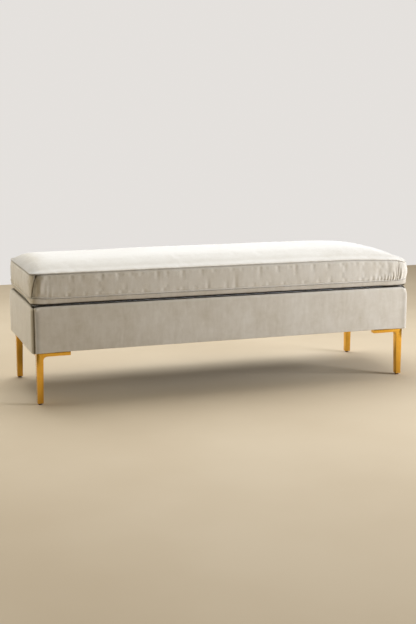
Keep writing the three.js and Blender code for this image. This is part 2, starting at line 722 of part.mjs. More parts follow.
function legGroups() {
  const rooms = screwPlaces().map(({ x, y }) => screwRoom().translate(x, y, ARM_BOTTOM));
  const legGeometry = [...rooms, studRoom()].reduce((left, room) => left.subtract(solidOf(room)), legSolid());
  return CORNERS.map(({ name, sideX, sideY }, turns) => {
    const group = new THREE.Group();
    group.add(piece(`leg_${name}`, geometryOfSolid(legGeometry), MATERIALS.brass));
    for (const place of screwPlaces(turns)) {
      const mesh = piece(`leg_screw_${name}_${place.name}`, screw(), MATERIALS.brass);
      mesh.position.set(place.x, place.y, ARM_BOTTOM);
      group.add(mesh);
    }
    const studMesh = piece(`leveller_stud_${name}`, stud(), MATERIALS.steel);
    const footMesh = piece(`leveller_foot_${name}`, foot(), MATERIALS.footPlastic);
    for (const mesh of [studMesh, footMesh]) {
      mesh.position.set(LEVELLER_PLACE, LEVELLER_PLACE, 0);
      group.add(mesh);
    }
    group.rotation.z = turns * Math.PI / 2;
    group.position.set(
      sideX * (BENCH_LENGTH / 2 - LEG_INSET_X), sideY * (BENCH_DEPTH / 2 - LEG_INSET_Y), 0,
    );
    group.updateMatrixWorld(true);
    return group;
  });
}

// Every screw's room in the bench's own frame
function screwRooms(groups) {
  return groups.flatMap((group) => screwPlaces().map(({ x, y }) => (
    screwRoom().translate(x, y, ARM_BOTTOM).applyMatrix4(group.matrixWorld)
  )));
}

function cushion() {
  const group = new THREE.Group();
  const low = BOTTOM_SEAM + CLEARANCE / 2;
  const high = TOP_SEAM - CLEARANCE / 2;
  group.add(
    piece('cushion_foam_core', foamCore(), MATERIALS.foam),
    piece('cushion_wrap_top', wrapTop(), MATERIALS.fibre),
    piece('cushion_wrap_bottom', wrapBottom(), MATERIALS.fibre),
    piece('cushion_top_panel', topPanel(), MATERIALS.velvet),
    piece('cushion_bottom_panel', bottomPanel(), MATERIALS.velvet),
    piece('cushion_boxing', boxing(), MATERIALS.velvet),
    piece('cushion_zip_strip_lower', zipStrip(low, ZIP_MIDDLE - ZIP_OPENING_HALF), MATERIALS.velvet),
    piece('cushion_zip_strip_upper', zipStrip(ZIP_MIDDLE + ZIP_OPENING_HALF, high), MATERIALS.velvet),
    piece('cushion_zip_chain', zipChain(), MATERIALS.zipTape),
    piece('cushion_zip_slider', zipSlider(), MATERIALS.steel),
  );
  return group;
}

function frameAndDeck(rooms) {
  const group = new THREE.Group();
  for (const [side, geometry] of Object.entries(rails())) {
    group.add(piece(`rail_${side}`, cutBy(geometry, rooms), MATERIALS.timber));
  }
  for (const [side, sign] of [['left', -1], ['right', 1]]) {
    const mesh = piece(`cross_rail_${side}`, crossRail(), MATERIALS.timber);
    mesh.position.set(sign * CROSS_RAIL_SPACING / 2, 0, RAIL_TOP - CROSS_RAIL_HEIGHT / 2);
    group.add(mesh);
  }
  CORNERS.forEach(({ name, sideX, sideY }, turns) => {
    const mesh = piece(`corner_block_${name}`, cornerBlock(), MATERIALS.timber);
    mesh.rotation.z = turns * Math.PI / 2;
    mesh.position.set(
      sideX * (RAIL_INNER_HALF_LENGTH - CLEARANCE),
      sideY * (RAIL_INNER_HALF_DEPTH - CLEARANCE),
      RAIL_TOP - BLOCK_HEIGHT,
    );
    group.add(mesh);
  });
  const coverHalfX = BASE_HALF_LENGTH - RETURN_WIDTH - CLEARANCE;
  const coverHalfY = BASE_HALF_DEPTH - RETURN_WIDTH - CLEARANCE;
  const board = deckLayer(RAIL_HALF_LENGTH, RAIL_HALF_DEPTH, DECK_BOARD_BOTTOM, DECK_BOARD_TOP);
  const foam = deckLayer(RAIL_HALF_LENGTH, RAIL_HALF_DEPTH, DECK_FOAM_BOTTOM, DECK_FOAM_TOP);
  const cloth = deckLayer(coverHalfX, coverHalfY, BASE_TOP - FABRIC_THICKNESS, BASE_TOP);
  group.add(
    piece('deck_board', board, MATERIALS.board),
    piece('deck_foam', foam, MATERIALS.foam),
    piece('deck_cover', cloth, MATERIALS.deckCloth),
    piece('dust_cover', cutBy(dustCloth(), rooms), MATERIALS.dustCloth),
  );
  return group;
}

function border(rooms) {
  const group = new THREE.Group();
  for (const side of ['front', 'rear', 'left', 'right']) {
    group.add(
      piece(`pad_${side}`, borderPad(side), MATERIALS.fibre),
      piece(`cover_${side}`, cutBy(borderCover(side), rooms), MATERIALS.velvet),
    );
  }
  return group;
}

const legs = legGroups();
const rooms = screwRooms(legs);
const bench = new THREE.Group();
bench.add(cushion(), frameAndDeck(rooms), border(rooms), ...legs);

export default bench;
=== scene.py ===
import math
import random

import bmesh
import bpy
from mathutils import Matrix, Vector, kdtree, noise


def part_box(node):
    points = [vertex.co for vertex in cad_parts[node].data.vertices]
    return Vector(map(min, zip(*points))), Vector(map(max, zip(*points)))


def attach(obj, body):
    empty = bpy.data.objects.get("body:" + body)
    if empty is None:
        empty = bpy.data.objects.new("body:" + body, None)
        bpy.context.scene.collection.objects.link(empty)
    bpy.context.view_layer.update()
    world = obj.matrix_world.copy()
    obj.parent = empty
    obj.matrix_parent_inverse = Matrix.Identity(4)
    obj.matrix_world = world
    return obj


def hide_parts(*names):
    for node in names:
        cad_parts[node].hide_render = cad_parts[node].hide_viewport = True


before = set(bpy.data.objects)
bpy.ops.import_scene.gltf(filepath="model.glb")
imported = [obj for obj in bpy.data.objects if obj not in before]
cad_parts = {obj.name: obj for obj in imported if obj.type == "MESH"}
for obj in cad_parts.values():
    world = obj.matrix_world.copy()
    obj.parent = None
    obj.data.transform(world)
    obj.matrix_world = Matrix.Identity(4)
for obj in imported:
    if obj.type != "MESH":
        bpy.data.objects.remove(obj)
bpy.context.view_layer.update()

# Timber frame. Planed softwood rails stand on edge, the end rails between the long ones, glued and screwed to a
# three-cornered block in each corner, with two cross rails let in under the deck.
PLANED_EDGE = 0.0012
SAME_CORNER = 1e-5
FLAT_WITHIN = math.radians(1)
SHARP_OVER = math.radians(30)
TIMBER_PALE = (0.60, 0.41, 0.22, 1)
TIMBER_DARK = (0.38, 0.22, 0.10, 1)
GRAIN_ALONG = {"x": (0, 0, 0), "y": (0, 0, math.pi / 2), "z": (0, math.pi / 2, 0)}
RAIL_GRAIN = {
    "rail_front": "x", "rail_rear": "x", "rail_left": "y", "rail_right": "y",
    "cross_rail_left": "y", "cross_rail_right": "y",
    "corner_block_front_left": "z", "corner_block_front_right": "z",
    "corner_block_rear_left": "z", "corner_block_rear_right": "z",
}


def add_node(tree, kind, values=None, **settings):
    """A shader node with its settings, and a value or another node's output on each input that is named."""
    node = tree.nodes.new(kind)
    for name, setting in settings.items():
        setattr(node, name, setting)
    for socket, value in (values or {}).items():
        if isinstance(value, bpy.types.NodeSocket):
            tree.links.new(value, node.inputs[socket])
        else:
            node.inputs[socket].default_value = value
    return node


def surface_effect(name, inputs):
    """A node group that takes a place and named values, and gives a colour, a roughness and a height."""
    tree = bpy.data.node_groups.new(name, "ShaderNodeTree")
    sockets = tree.interface
    sockets.new_socket(name="Place", in_out="INPUT", socket_type="NodeSocketVector")
    for label, value in inputs.items():
        kind = "NodeSocketFloat" if isinstance(value, (int, float)) else "NodeSocketColor"
        sockets.new_socket(name=label, in_out="INPUT", socket_type=kind).default_value = value
    sockets.new_socket(name="Color", in_out="OUTPUT", socket_type="NodeSocketColor")
    sockets.new_socket(name="Roughness", in_out="OUTPUT", socket_type="NodeSocketFloat")
    sockets.new_socket(name="Height", in_out="OUTPUT", socket_type="NodeSocketFloat")
    return tree, tree.nodes.new("NodeGroupInput").outputs


def mixed(tree, share, first, second):
    """A colour between two, by a share from 0 to 1."""
    return add_node(tree, "ShaderNodeMix", {0: share, 6: first, 7: second}, data_type="RGBA").outputs[2]


def fitted(tree, value, low, high, new_low=0.0, new_high=1.0):
    """A value from one range fitted to another."""
    values = {0: value, 1: low, 2: high, 3: new_low, 4: new_high}
    return add_node(tree, "ShaderNodeMapRange", values).outputs[0]


def summed(tree, first, second, operation="ADD"):
    return add_node(tree, "ShaderNodeMath", {0: first, 1: second}, operation=operation).outputs[0]


def stretched(tree, place, stretch):
    """A place multiplied axis by axis, so that a pattern is drawn out where the factor is small."""
    return add_node(tree, "ShaderNodeVectorMath", {0: place, 1: stretch}, operation="MULTIPLY").outputs[0]


def cloudy(tree, place, scale, detail=3.0, distortion=0.0):
    """Soft noise from 0 to 1, with as many patches a metre as the scale says."""
    values = {"Vector": place, "Scale": scale, "Detail": detail, "Distortion": distortion}
    return add_node(tree, "ShaderNodeTexNoise", values).outputs[0]


def finished(name, effect, values, bump, depth, shader, turn=None):
    """A material: one effect's colour, roughness and height on a Principled shader with constants of its own."""
    material = bpy.data.materials.new(name)
    material.use_nodes = True
    tree = material.node_tree
    tree.nodes.clear()
    place = add_node(tree, "ShaderNodeTexCoord").outputs["Object"]
    if turn:
        place = add_node(tree, "ShaderNodeMapping", {"Vector": place, "Rotation": turn}).outputs[0]
    look = add_node(tree, "ShaderNodeGroup", {"Place": place, **values}, node_tree=effect).outputs
    relief = add_node(tree, "ShaderNodeBump", {"Strength": bump, "Distance": depth, "Height": look["Height"]})
    values = {"Base Color": look["Color"], "Roughness": look["Roughness"], "Normal": relief.outputs[0]}
    body = add_node(tree, "ShaderNodeBsdfPrincipled", {**values, **shader})
    add_node(tree, "ShaderNodeOutputMaterial", {"Surface": body.outputs[0]})
    return material


grain, given = surface_effect("wood grain", {"Pale": TIMBER_PALE, "Dark": TIMBER_DARK})
drawn_out = stretched(grain, given["Place"], (0.35, 5.0, 5.0))
wander = cloudy(grain, drawn_out, 3.0, 2.0)
rings = add_node(grain, "ShaderNodeTexWave", {
    "Vector": drawn_out, "Scale": 3.2, "Distortion": 9.0, "Detail": 3.0, "Detail Scale": 0.8,
}, wave_type="RINGS", rings_direction="X").outputs[1]
fibres = cloudy(grain, stretched(grain, given["Place"], (12.0, 500.0, 500.0)), 1.0, 4.0)
tone = summed(grain, fitted(grain, rings, 0, 1, 0, 0.6), fitted(grain, fibres, 0.3, 0.7, 0, 0.4))
tone = summed(grain, tone, fitted(grain, wander, 0.3, 0.7, -0.15, 0.15))
add_node(grain, "NodeGroupOutput", {
    "Color": mixed(grain, tone, given["Pale"], given["Dark"]),
    "Roughness": fitted(grain, tone, 0, 1, 0.62, 0.5),
    "Height": fibres,
})
TIMBER = {}
for along, turn in GRAIN_ALONG.items():
    name = f"planed softwood, grain along {along}"
    TIMBER[along] = finished(name, grain, {}, bump=0.35, depth=0.0004, shader={"Specular IOR Level": 0.35}, turn=turn)


def keep_cad_piece(name, material, edge):
    """A CAD piece that stays as it is, with its finish and a soft edge."""
    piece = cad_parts[name]
    if not piece.material_slots:
        piece.data.materials.append(material)
    piece.material_slots[0].material = material
    piece.modifiers.new("shared corners", "WELD").merge_threshold = SAME_CORNER
    flats = piece.modifiers.new("flat faces", "DECIMATE")
    flats.decimate_type = "DISSOLVE"
    flats.angle_limit = FLAT_WITHIN
    rounded = piece.modifiers.new("softened edges", "BEVEL")
    rounded.width = edge
    rounded.segments = 2
    rounded.limit_method = "ANGLE"
    rounded.angle_limit = SHARP_OVER
    rounded.use_clamp_overlap = True


for rail_name, along in RAIL_GRAIN.items():
    keep_cad_piece(rail_name, TIMBER[along], PLANED_EDGE)

# Deck board. A birch plywood sheet, sawn to the frame's outline and screwed down all round, with its plies showing
# at the sawn edge.
PLY_THICKNESS = 0.0015
BOARD_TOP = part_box("deck_board")[1].z + PLY_THICKNESS * 0.2
BIRCH_PALE = (0.69, 0.52, 0.33, 1)
BIRCH_DARK = (0.50, 0.34, 0.19, 1)
GLUE_LINE = (0.25, 0.15, 0.08, 1)

plies, given = surface_effect("plies", {
    "Pale": BIRCH_PALE, "Dark": BIRCH_DARK, "Glue": GLUE_LINE, "Ply": PLY_THICKNESS,
})
long_place = stretched(plies, given["Place"], (1.2, 14.0, 14.0))
figure = cloudy(plies, long_place, 4.0, 4.0, 0.8)
face_colour = mixed(plies, fitted(plies, figure, 0.35, 0.65), given["Pale"], given["Dark"])
height = add_node(plies, "ShaderNodeSeparateXYZ", {0: given["Place"]}).outputs[2]
depth = summed(plies, BOARD_TOP, height, "SUBTRACT")
layer = summed(plies, summed(plies, depth, given["Ply"], "DIVIDE"), 2.0, "MODULO")
dark_ply = summed(plies, layer, 1.0, "GREATER_THAN")
ply_colour = mixed(plies, dark_ply, face_colour, given["Dark"])
at_glue = summed(plies, summed(plies, layer, 1.0, "MODULO"), 0.9, "GREATER_THAN")
add_node(plies, "NodeGroupOutput", {
    "Color": mixed(plies, at_glue, ply_colour, given["Glue"]),
    "Roughness": fitted(plies, figure, 0.3, 0.7, 0.7, 0.55),
    "Height": figure,
})
PLYWOOD = finished("birch plywood", plies, {}, bump=0.25, depth=0.0003, shader={"Specular IOR Level": 0.35})
keep_cad_piece("deck_board", PLYWOOD, PLANED_EDGE)

# Padding. Polyester wadding wraps the outside of the rails and their upper edge, and a slab of firm foam covers the
# deck. The wadding is stapled, the slab glued.
WADDING_WHITE = (0.86, 0.85, 0.82, 1)
WADDING_GREY = (0.66, 0.65, 0.62, 1)
FOAM_PALE = (0.84, 0.78, 0.56, 1)
FOAM_DEEP = (0.55, 0.47, 0.27, 1)
BORDER_HALF_LENGTH = -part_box("cover_left")[0].x
BORDER_HALF_DEPTH = -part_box("cover_front")[0].y
BORDER_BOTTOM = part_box("cover_front")[0].z
BORDER_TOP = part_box("cover_front")[1].z
BORDER_CORNER = 0.014
BORDER_UPPER_ROUND = 0.010
BORDER_LOWER_ROUND = 0.003
LEAST_ROUND = 0.0003
SAME_PLACE = 1e-6
SIDES = {
    "front": (0, BORDER_HALF_LENGTH, BORDER_HALF_DEPTH), "right": (1, BORDER_HALF_DEPTH, BORDER_HALF_LENGTH),
    "rear": (2, BORDER_HALF_LENGTH, BORDER_HALF_DEPTH), "left": (3, BORDER_HALF_DEPTH, BORDER_HALF_LENGTH),
}
PAD_DEPTH = 0.0020
PAD_THICKNESS = 0.0065
PAD_LOFT = 0.0008
PAD_FACE_SHARE = 0.8
PAD_CORNER_DEPTH = 0.0070
PAD_CORNER_REACH = 0.014
CORNER_SINK = {(-1, -1): 0.0035, (1, -1): 0.0090, (1, 1): 0.0050, (-1, 1): 0.0050}
CORNER_SINK_REACH = 0.020
CORNER_SINK_HEIGHT = 0.040
CORNER_SINK_END = (0.012, 0.030)
CORNER_PULL = 0.6
SLAB_ROUND = 0.003
SLAB_CELL = 0.044
SLAB_CORNER_DROP = 0.0105
SLAB_CORNER_REACH = 0.032
MITRE_TURN = math.radians(45)

fluff, given = surface_effect("wadding", {"White": WADDING_WHITE, "Grey": WADDING_GREY})
tufts = cloudy(fluff, given["Place"], 45.0, 6.0, 1.6)
strands = cloudy(fluff, stretched(fluff, given["Place"], (1.0, 1.0, 0.4)), 420.0, 5.0, 2.5)
lofty = summed(fluff, summed(fluff, tufts, 0.55, "MULTIPLY"), summed(fluff, strands, 0.45, "MULTIPLY"))
add_node(fluff, "NodeGroupOutput", {
    "Color": mixed(fluff, fitted(fluff, lofty, 0.35, 0.62), given["Grey"], given["White"]),
    "Roughness": fitted(fluff, lofty, 0.3, 0.7, 1.0, 0.9),
    "Height": lofty,
})
WADDING = finished("polyester wadding", fluff, {}, bump=0.9, depth=0.004, shader={
    "Sheen Weight": 0.3, "Sheen Roughness": 0.6,
})

cells, given = surface_effect("foam cells", {"Pale": FOAM_PALE, "Deep": FOAM_DEEP})
pores = add_node(cells, "ShaderNodeTexVoronoi", {"Vector": given["Place"], "Scale": 650.0}).outputs["Distance"]
ageing = cloudy(cells, given["Place"], 14.0, 3.0)
open_cell = fitted(cells, pores, 0.1, 0.55)
worn_colour = mixed(cells, fitted(cells, ageing, 0.3, 0.7, 0.0, 0.25), given["Pale"], given["Deep"])
add_node(cells, "NodeGroupOutput", {
    "Color": mixed(cells, fitted(cells, open_cell, 0, 1, 0.35, 0.0), worn_colour, given["Deep"]),
    "Roughness": fitted(cells, ageing, 0.3, 0.7, 1.0, 0.9),
    "Height": open_cell,
})
FOAM = finished("open-cell foam", cells, {}, bump=0.6, depth=0.0008, shader={"Specular IOR Level": 0.2})


def add_piece(bm, name, material, body, slot, *nodes):
    """A finished mesh as a smooth piece at the origin, carried by its body and standing for its CAD nodes."""
    mesh = bpy.data.meshes.new(name)
    bm.to_mesh(mesh)
    bm.free()
    mesh.materials.append(material)
    mesh.polygons.foreach_set("use_smooth", [True] * len(mesh.polygons))
    piece = bpy.data.objects.new(name, mesh)
    bpy.context.scene.collection.objects.link(piece)
    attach(piece, body)
    if nodes:
        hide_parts(*nodes)
    return piece


def woven_grid(columns, rows, place):
    """A sheet with its faces outwards. place says where a column and row go, which way is out there, and the painted
    light and shade of the pile there, from -1, a painted highlight, to 1, painted shade in a crease, which it may leave
    out."""
    bm = bmesh.new()
    bmesh.ops.create_grid(bm, x_segments=columns, y_segments=rows, size=1)
    # An attribute of the painted light and shade on the pile.
    painted_shading = bm.verts.layers.float.new("painted_shading")
    outward = {}
    for vertex in bm.verts:
        column = round((vertex.co.x + 1) * columns / 2)
        row = round((vertex.co.y + 1) * rows / 2)
        vertex.co, outward[vertex], *rest = place(column, row)
        vertex[painted_shading] = rest[0] if rest else 0.0
    bm.normal_update()
    agree = sum(face.normal.dot(outward[face.verts[0]]) * face.calc_area() for face in bm.faces)
    if agree < 0:
        bmesh.ops.reverse_faces(bm, faces=bm.faces)
    return bm


def thicken(piece, thickness):
    """Gives a sheet its thickness, all of it inwards."""
    wall = piece.modifiers.new("thickness", "SOLIDIFY")
    wall.thickness = thickness
    wall.offset = -1
    wall.use_quality_normals = True
    return piece


def side_half(side, wrap):
    """From the middle of a side of the base to where its cloth ends, round the corner by the wrap's angle."""
    return SIDES[side][1] - BORDER_CORNER + BORDER_CORNER * wrap


def side_plan(side, run, inset):
    """A place in plan at a distance along one side of the base, measured on its face from the middle, and at a
    depth behind that face. It also gives which way is out there."""
    quarter, half_along, half_out = SIDES[side]
    straight_run = half_along - BORDER_CORNER
    radius = max(BORDER_CORNER - inset, LEAST_ROUND)
    straight = half_along - inset - radius
    if abs(run) <= straight_run:
        angle = 0.0
        along = run / straight_run * straight
    else:
        angle = math.copysign((abs(run) - straight_run) / BORDER_CORNER, run)
        along = math.copysign(straight, run) + radius * math.sin(angle)
    out = half_out - inset - radius + radius * math.cos(angle)
    turn = Matrix.Rotation(quarter * math.pi / 2, 3, "Z")
    return turn @ Vector((along, -out, 0)), turn @ Vector((math.sin(angle), -math.cos(angle), 0))


def graded(index, count, half, close):
    """Where a row lies across a cloth from -half to half, and how far from its nearer edge. The rows beside an edge
    lie at the close distances, and the rest are even."""
    step = min(index, count - index)
    last = len(close) - 1
    if step <= last:
        depth = close[step]
    else:
        depth = close[last] + (half - close[last]) * (step - last) / (count / 2 - last)
    return (half - depth) * (-1 if index < count / 2 else 1), depth


def edge_round(share, radius, start):
    """A quarter round of the border: how far in from its face it lies, how high from its centre, out and up."""
    angle = (start + share) * math.pi / 2
    out, up = math.sin(angle), -math.cos(angle)
    return radius * (1 - out), radius * up, out, up


def pad_section(share):
    """The wadding's outside, from the rail's foot up the face and over its upper edge."""
    low, high = BORDER_BOTTOM + PAD_DEPTH, BORDER_TOP - PAD_DEPTH
    upper = BORDER_UPPER_ROUND - PAD_DEPTH
    if share <= PAD_FACE_SHARE:
        height = low + (high - upper - low) * share / PAD_FACE_SHARE
        return PAD_DEPTH, height, 1.0, 0.0
    inset, rise, out, up = edge_round((share - PAD_FACE_SHARE) / (1 - PAD_FACE_SHARE), upper, 1)
    return PAD_DEPTH + inset, high - upper + rise, out, up


def eased(value, low, high):
    """A smooth step from 0 at the low value to 1 at the high one."""
    share = min(1.0, max(0.0, (value - low) / (high - low)))
    return share * share * (3 - 2 * share)


def corner_sink(side, spot, run, away, inset):
    """How a place near an upper corner of the base has moved down and in, where the padding packs under the cloth."""
    corner = (-1 if spot.x < 0 else 1), (-1 if spot.y < 0 else 1)
    from_corner = side_half(side, MITRE_TURN) - abs(run)
    near = math.exp(-(from_corner / CORNER_SINK_REACH) ** 2)
    near *= eased(spot.z, BORDER_TOP - CORNER_SINK_HEIGHT, BORDER_TOP)
    sunk = CORNER_SINK[corner] * near * (1 - eased(inset, *CORNER_SINK_END))
    return away * (-CORNER_PULL * sunk) - Vector((0, 0, sunk))


PAD_COLUMNS = (0, 0.004, 0.008, 0.012)


def border_pad(side):
    """The wadding of one side, mitred at the corners."""
    columns = 84 if side in ("front", "rear") else 40
    rows = 20
    half = side_half(side, MITRE_TURN)

    def place(column, row):
        inset, height, out, up = pad_section(row / rows)
        run, from_end = graded(column, columns, half, PAD_COLUMNS)
        spot, away = side_plan(side, run, inset)
        spot.z = height
        loft = PAD_LOFT * (1 + noise.noise(spot * 30))
        loft += PAD_CORNER_DEPTH * math.exp(-(from_end / PAD_CORNER_REACH) ** 2)
        direction = away * out + Vector((0, 0, up))
        return spot - direction * loft + corner_sink(side, spot, run, away, inset), direction

    return woven_grid(columns, rows, place)


for side in SIDES:
    pad = add_piece(border_pad(side), f"{side}_wadding", WADDING, "base", "fibre", f"pad_{side}")
    thicken(pad, PAD_THICKNESS)


def slab(low, high, cell, edge):
    """A block of foam with soft edges, cut into even cells."""
    bm = bmesh.new()
    size = high - low
    bmesh.ops.create_cube(bm, size=1)
    bmesh.ops.scale(bm, vec=size, verts=bm.verts)
    bmesh.ops.translate(bm, vec=(low + high) / 2, verts=bm.verts)
    bmesh.ops.bevel(
        bm, geom=bm.edges[:], offset=edge, offset_type="OFFSET", segments=2, profile=0.5, affect="EDGES", material=-1,
    )
    for axis in range(3):
        cuts = round(size[axis] / cell) - 1
        for cut in range(1, cuts + 1):
            point = low.copy()
            point[axis] += size[axis] * cut / (cuts + 1)
            normal = Vector((0, 0, 0))
            normal[axis] = 1
            geometry = bm.verts[:] + bm.edges[:] + bm.faces[:]
            bmesh.ops.bisect_plane(bm, geom=geometry, dist=SAME_PLACE, plane_co=point, plane_no=normal)
    return bm


slab_low, slab_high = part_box("deck_foam")
deck_slab = slab(slab_low, slab_high, SLAB_CELL, SLAB_ROUND)
for vertex in deck_slab.verts:
    from_corner = Vector((slab_high.x - abs(vertex.co.x), slab_high.y - abs(vertex.co.y))).length
    upper = (vertex.co.z - slab_low.z) / (slab_high.z - slab_low.z)
    vertex.co.z -= SLAB_CORNER_DROP * upper * math.exp(-(from_corner / SLAB_CORNER_REACH) ** 2)
deck_slab = add_piece(deck_slab, "deck_foam_slab", FOAM, "base", "foam", "deck_foam")

# Border cover. Cotton velvet, pulled over the wadding and stapled under the rails. The end pieces wrap round the
# corners, and the front and rear pieces are slip-stitched over them with their edge folded in.
VELVET_PILE = (0.512, 0.458, 0.374, 1)
# The brushed colour is both the pile's lighter random tone and the colour that painted highlights go towards.
VELVET_BRUSHED_AND_LIT = (0.612, 0.567, 0.492, 1)
VELVET_CRUSHED = (0.345, 0.280, 0.185, 1)
# Painted shade: the near-black colour that seams, creases, corner hollows and the gap under the cushion are painted
# towards.
VELVET_PAINTED_SHADE = (0.030, 0.022, 0.013, 1)
VELVET_SHEEN = (1.0, 0.99, 0.97, 1)
CLOTH_THICKNESS = 0.0015
FLANGE_WIDTH = 0.036
RETURN_WIDTH = 0.034
LONG_WRAP = math.radians(8)
SHORT_WRAP = math.radians(82)
LONG_COLUMNS = 210
SHORT_COLUMNS = 96
BORDER_COLUMNS = (0, 0.0006, 0.0013, 0.002, 0.0028, 0.0038, 0.005, 0.0065, 0.0085, 0.011, 0.014, 0.018, 0.023, 0.029)
FOLD_RADIUS = 0.0028
FOLD_PROUD = 0.0014
FOLD_PROUD_REACH = 0.012
UNDER_FOLD = 0.0042
UNDER_FOLD_REACH = 0.0032
CORNER_CREASE = {-1: 1.0, 1: 0.35}
# Painted shade along the slip-stitched seams and along the zip's hem stitching.
STITCH_SHADE = 0.38
STITCH_REACH = 0.0008
# Painted shade where each end piece tucks in under the fold: a dark line and a wider, fainter band beside it.
TUCK_CREVICE_SHADE = 0.76
TUCK_REACH = 0.0035
TUCK_SHADE = 0.19
TUCK_SHADE_REACH = 0.012
# Painted shadow of the gap on the border's return under the cushion's edge, where the pile is also pressed; fainter
# towards the ends.
GAP_SHADOW = 1.0
GAP_SHADOW_AT_ENDS = 0.35
GAP_SHADOW_CORNER = (0.010, 0.060)
GAP_SHADOW_START = (0.0022, 0.0065)
GAP_SHADOW_END = (0.013, 0.022)
# Faces with more painted shade than this take the shaded velvet without sheen.
SHADED_FROM = 0.25
# A painted highlight along the border's upper round, just under the cushion.
EDGE_PAINTED_HIGHLIGHT = -0.5
EDGE_HIGHLIGHT_HEIGHT = BORDER_TOP - 0.0070
EDGE_HIGHLIGHT_REACH = 0.0030
EDGE_HIGHLIGHT_OUT = (0.5, 0.9)
CORNER_HANG = 0.0022
CORNER_HANG_REACH = 0.085
CORNER_HANG_HEIGHT = 0.05
CORNER_HANG_END = (0.003, 0.010)
FACE_MIDDLE = (BORDER_TOP + BORDER_BOTTOM) / 2
FACE_SWELL = 0.0016
FACE_SWELL_HEIGHT = 0.080
FACE_SWELL_RUN = 0.12
FACE_WANDER = 0.0008
EAR_SIZE = 0.0036
EAR_REACH = 0.0080
EAR_HEIGHT = BORDER_TOP - 0.0085
EAR_FROM_SEAM = 0.009
# Painted shade on the face beside the corner folds.
BESIDE_FOLD_SHADE = 0.32

pile, given = surface_effect("velvet pile", {
    "Pile": VELVET_PILE, "Brushed And Lit": VELVET_BRUSHED_AND_LIT, "Flattened": VELVET_CRUSHED, "Painted Shade": VELVET_PAINTED_SHADE,
})
patches = fitted(pile, cloudy(pile, given["Place"], 6.0, 2.0, 0.4), 0.3, 0.7, -0.5, 0.5)
mottle = fitted(pile, cloudy(pile, given["Place"], 38.0, 4.0, 0.7), 0.3, 0.7, -0.5, 0.5)
hanging = stretched(pile, given["Place"], (1.0, 1.0, 0.2))
streaks = fitted(pile, cloudy(pile, hanging, 85.0, 3.0, 0.3), 0.3, 0.7, -0.5, 0.5)
drawn_down = stretched(pile, given["Place"], (1.0, 1.0, 0.4))
falls = fitted(pile, cloudy(pile, drawn_down, 24.0, 2.0, 0.8), 0.35, 0.65, -0.5, 0.5)
tips = cloudy(pile, given["Place"], 1300.0, 2.0)
nap_and_light = summed(pile, summed(pile, patches, 0.4, "MULTIPLY"), summed(pile, mottle, 0.34, "MULTIPLY"))
nap_and_light = summed(pile, nap_and_light, summed(pile, streaks, 0.27, "MULTIPLY"))
nap_and_light = summed(pile, nap_and_light, summed(pile, falls, 0.25, "MULTIPLY"))
nap_and_light = summed(pile, nap_and_light, fitted(pile, tips, 0.3, 0.7, -0.16, 0.16))
# The painted light and shade of each place: below 0 a painted highlight towards the lit colour, above 0 painted shade
# towards the painted shade colour.
shading_mask = add_node(pile, "ShaderNodeAttribute", attribute_name="painted_shading").outputs["Fac"]
nap_and_light = summed(pile, nap_and_light, fitted(pile, shading_mask, -1.0, 0.0, 0.3, 1.0), "MULTIPLY")
nap_and_light = summed(pile, nap_and_light, fitted(pile, shading_mask, -1.0, 0.0, 0.45, 0.0))
lighter = mixed(pile, fitted(pile, nap_and_light, 0.0, 0.9), given["Pile"], given["Brushed And Lit"])
darker = mixed(pile, fitted(pile, nap_and_light, 0.0, -1.4), lighter, given["Flattened"])
add_node(pile, "NodeGroupOutput", {
    "Color": mixed(pile, fitted(pile, shading_mask, 0.0, 1.0), darker, given["Painted Shade"]),
    "Roughness": fitted(pile, nap_and_light, -0.6, 0.6, 0.95, 0.8),
    "Height": summed(pile, summed(pile, nap_and_light, 0.5, "MULTIPLY"), summed(pile, tips, 0.5, "MULTIPLY")),
})
VELVET = finished("cotton velvet", pile, {}, bump=0.4, depth=0.0006, shader={
    "Sheen Weight": 0.5, "Sheen Roughness": 0.45, "Sheen Tint": VELVET_SHEEN, "Specular IOR Level": 0.15,
})
# A shaded copy of the velvet: its sheen is left out so that the seams and the gap under the cushion are painted darker.
SHADED_VELVET = finished("sheenless velvet in painted shade", pile, {}, bump=0.4, depth=0.0006, shader={"Specular IOR Level": 0.05})

BORDER_PARTS = (
    (6, lambda share: (FLANGE_WIDTH + (BORDER_LOWER_ROUND - FLANGE_WIDTH) * share, BORDER_BOTTOM, 0.0, -1.0)),
    (4, lambda share: lifted(edge_round(share, BORDER_LOWER_ROUND, 0), BORDER_BOTTOM + BORDER_LOWER_ROUND)),
    (30, lambda share: (0.0, face_height(share), 1.0, 0.0)),
    (8, lambda share: lifted(edge_round(share, BORDER_UPPER_ROUND, 1), BORDER_TOP - BORDER_UPPER_ROUND)),
    (6, lambda share: (BORDER_UPPER_ROUND + (RETURN_WIDTH - BORDER_UPPER_ROUND) * share, BORDER_TOP, 0.0, 1.0)),
)
BORDER_ROWS = sum(rows for rows, part in BORDER_PARTS)


def lifted(rounded, centre):
    """A quarter round of the border at its height on the face."""
    inset, rise, out, up = rounded
    return inset, centre + rise, out, up


def face_height(share):
    """How high a place on the border's face lies, between its two rounds."""
    low = BORDER_BOTTOM + BORDER_LOWER_ROUND
    return low + (BORDER_TOP - BORDER_UPPER_ROUND - low) * share


def border_section(row):
    """How deep and how high a row of the border's cloth lies, and its way out and up."""
    for rows, part in BORDER_PARTS:
        if row <= rows:
            return part(row / rows)
        row -= rows


